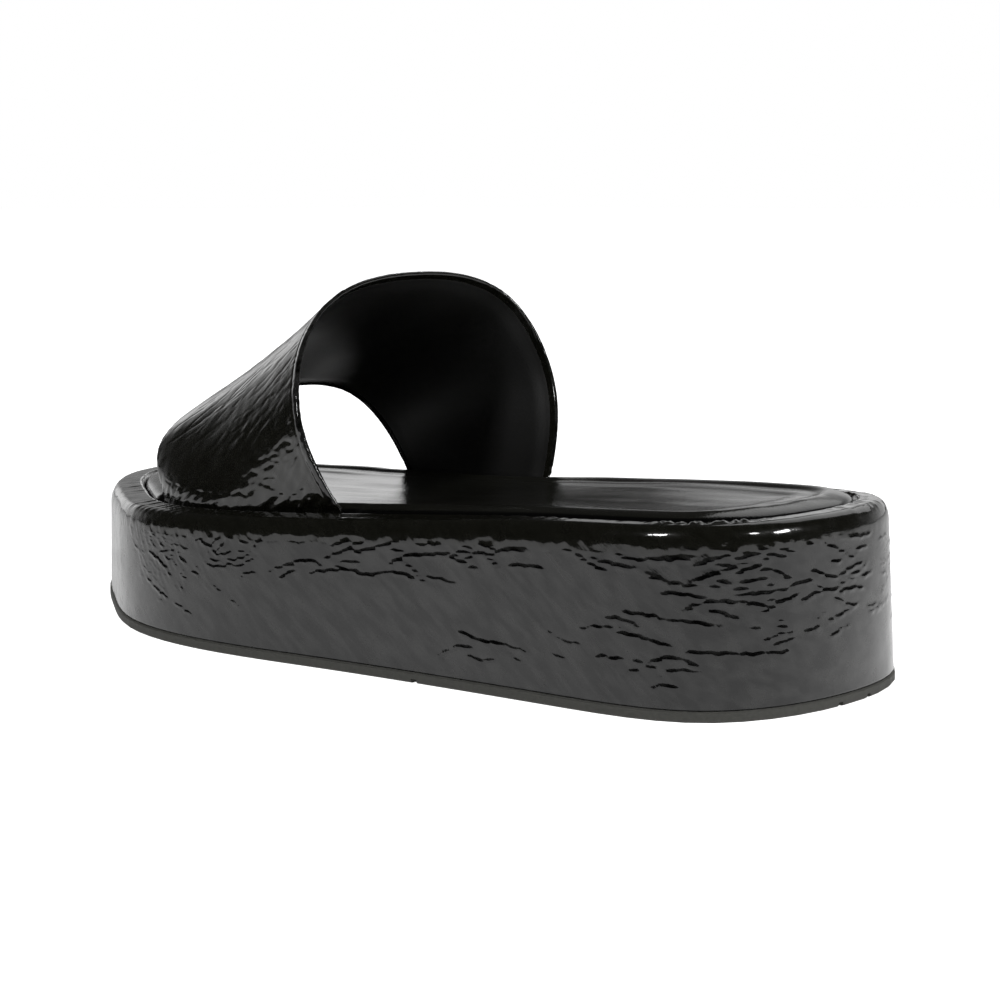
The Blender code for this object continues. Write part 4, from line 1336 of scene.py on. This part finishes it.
def make_room():
    """A world that is bright low down behind the shoe and dark in front of it and above."""
    world = bpy.data.worlds.new("studio room")
    world.use_nodes = True
    bpy.context.scene.world = world
    tree = world.node_tree
    tree.nodes.clear()
    way = add(tree, "ShaderNodeTexCoord").outputs["Generated"]
    height = add(tree, "ShaderNodeSeparateXYZ", {"Vector": way}).outputs["Z"]
    sideways = along_way(tree, way, SIDEWAYS)
    behind = remap(tree, along_way(tree, way, AWAY), 0.40, 0.93)
    back_wall = maths(tree, "MULTIPLY", behind, remap(tree, height, 0.38, 0.14))
    beyond_heel = remap(tree, sideways, -0.02, 0.06, 0.40, 0.72)
    low_strip = remap(tree, sideways, -0.02, 0.05, 0.12, 0.85)
    heel_half = remap(tree, height, 0.03, 0.15, low_strip, beyond_heel)
    both_halves = remap(tree, sideways, -0.12, -0.05, 1.0, heel_half)
    corner = ramp(tree, remap(tree, sideways, -0.40, -0.10, curve="LINEAR"), CORNER_SHADE)
    lit = maths(tree, "MULTIPLY", back_wall, maths(tree, "MULTIPLY", both_halves, corner))
    light = remap(tree, lit, 0.0, 1.0, ROOM_DARK, ROOM_BRIGHT, "LINEAR")
    strength = white_to_camera(tree, light)
    background = add(tree, "ShaderNodeBackground", {"Color": WHITE, "Strength": strength})
    add(tree, "ShaderNodeOutputWorld", {"Surface": background.outputs["Background"]})
    return world


room = make_room()
bpy.context.scene.view_settings.view_transform = "Standard"
print("room:", room.name)

# %% Lamps
Lamp = namedtuple("Lamp", "name place target size power mirrored lights")
LAMPS = (
    Lamp("overhead", (0.0, 0.0, 1.8), (0.0, 0.0, 0.0), 1.6, 18.0, False, True),
    Lamp("sparkle beside the shoe", (1.08, -0.04, 1.11), (0.035, 0.11, 0.042), 0.20, 4.5, True, True),
    Lamp("sparkle behind the heel", (-0.22, 1.30, 0.95), (0.02, 0.125, 0.042), 0.13, 2.0, True, True),
    Lamp("wide sparkle behind the heel", (-0.63, 1.28, 0.75), (0.013, 0.127, 0.042), 0.22, 5.5, True, True),
    Lamp("soft panel beyond the heel", (-1.15, -0.15, 0.93), (0.02, 0.12, 0.045), 0.9, 2.2, True, False),
)


def make_lamp(plan):
    """A square soft light that looks at a target. It may show in mirrors, light plain surfaces, or both."""
    data = bpy.data.lights.new(plan.name, "AREA")
    data.size = plan.size
    data.energy = plan.power
    lamp = put_in_scene(plan.name, data)
    lamp.location = plan.place
    lamp.rotation_euler = (Vector(plan.target) - Vector(plan.place)).to_track_quat("-Z", "Y").to_euler()
    lamp.visible_glossy = plan.mirrored
    lamp.visible_diffuse = plan.lights
    return lamp


lamps = [make_lamp(plan) for plan in LAMPS]
print("lamps:", [lamp.name for lamp in lamps])

# %% Dark card
CARD_MIDDLE = Vector((-0.248, -0.121, 0.0))
CARD_RIGHT = Vector((-0.633, 0.774, 0.0))
CARD_BOTTOM = 0.034
CARD_TOP = ((-0.050, 0.080), (-0.010, 0.080), (0.025, 0.050), (0.200, 0.050))


def make_card():
    """A low black card that hangs behind the shoe: the footbed mirrors it and the camera doesn't see it."""
    material, tree, shader = new_finish("black card")
    fill(tree, shader, {"Base Color": (0.012, 0.012, 0.012, 1.0), "Roughness": 0.9})
    count = len(CARD_TOP)
    feet = [CARD_MIDDLE + CARD_RIGHT * place for place, height in CARD_TOP]
    points = [foot + Vector((0.0, 0.0, CARD_BOTTOM)) for foot in feet]
    points += [foot + Vector((0.0, 0.0, height)) for foot, (place, height) in zip(feet, CARD_TOP)]
    mesh = bpy.data.meshes.new("black card")
    mesh.from_pydata(points, [], [(k, k + 1, k + 1 + count, k + count) for k in range(count - 1)])
    mesh.materials.append(material)
    card = put_in_scene("black card", mesh)
    card.visible_camera = False
    return card


card = make_card()
print("card:", round(CARD_TOP[-1][0] - CARD_TOP[0][0], 3), "m wide")

# %% [markdown]
# ## Camera
#
# The photo was taken from low down on the outer side, toward the heel, at about two thirds of a metre. A
# camera could be set by eye, but the outline of a shoe gives a better measure: the eye point, the way it
# looks and its lens were fitted to the photo's outlines. Here the same eye is turned a little and zoomed, so
# that the one shoe fills the picture from the same angle.

# %% Camera
EYE = Vector((463.7, 461.0, 129.2)) * MM
LOOK = Vector((-0.765, -0.626, -0.151)).normalized()
PHOTO_FOCAL = 1.680
AIM_RIGHT = -0.108
AIM_UP = 0.014
ZOOM = 1.5
SENSOR = 36.0


def make_camera():
    """The photo's own eye point, turned a little so that the one shoe is in the middle."""
    right = LOOK.cross(Vector((0.0, 0.0, 1.0))).normalized()
    up = right.cross(LOOK)
    aim = LOOK * PHOTO_FOCAL + right * AIM_RIGHT + up * AIM_UP
    data = bpy.data.cameras.new("photo camera")
    data.sensor_width = SENSOR
    data.lens = SENSOR * PHOTO_FOCAL * ZOOM
    data.clip_start = 0.01
    camera = put_in_scene("photo camera", data)
    camera.location = EYE
    camera.rotation_euler = aim.to_track_quat("-Z", "Y").to_euler()
    bpy.context.scene.camera = camera
    return camera


camera = make_camera()
print("lens:", round(camera.data.lens, 1), "mm at", [round(part, 3) for part in camera.location])
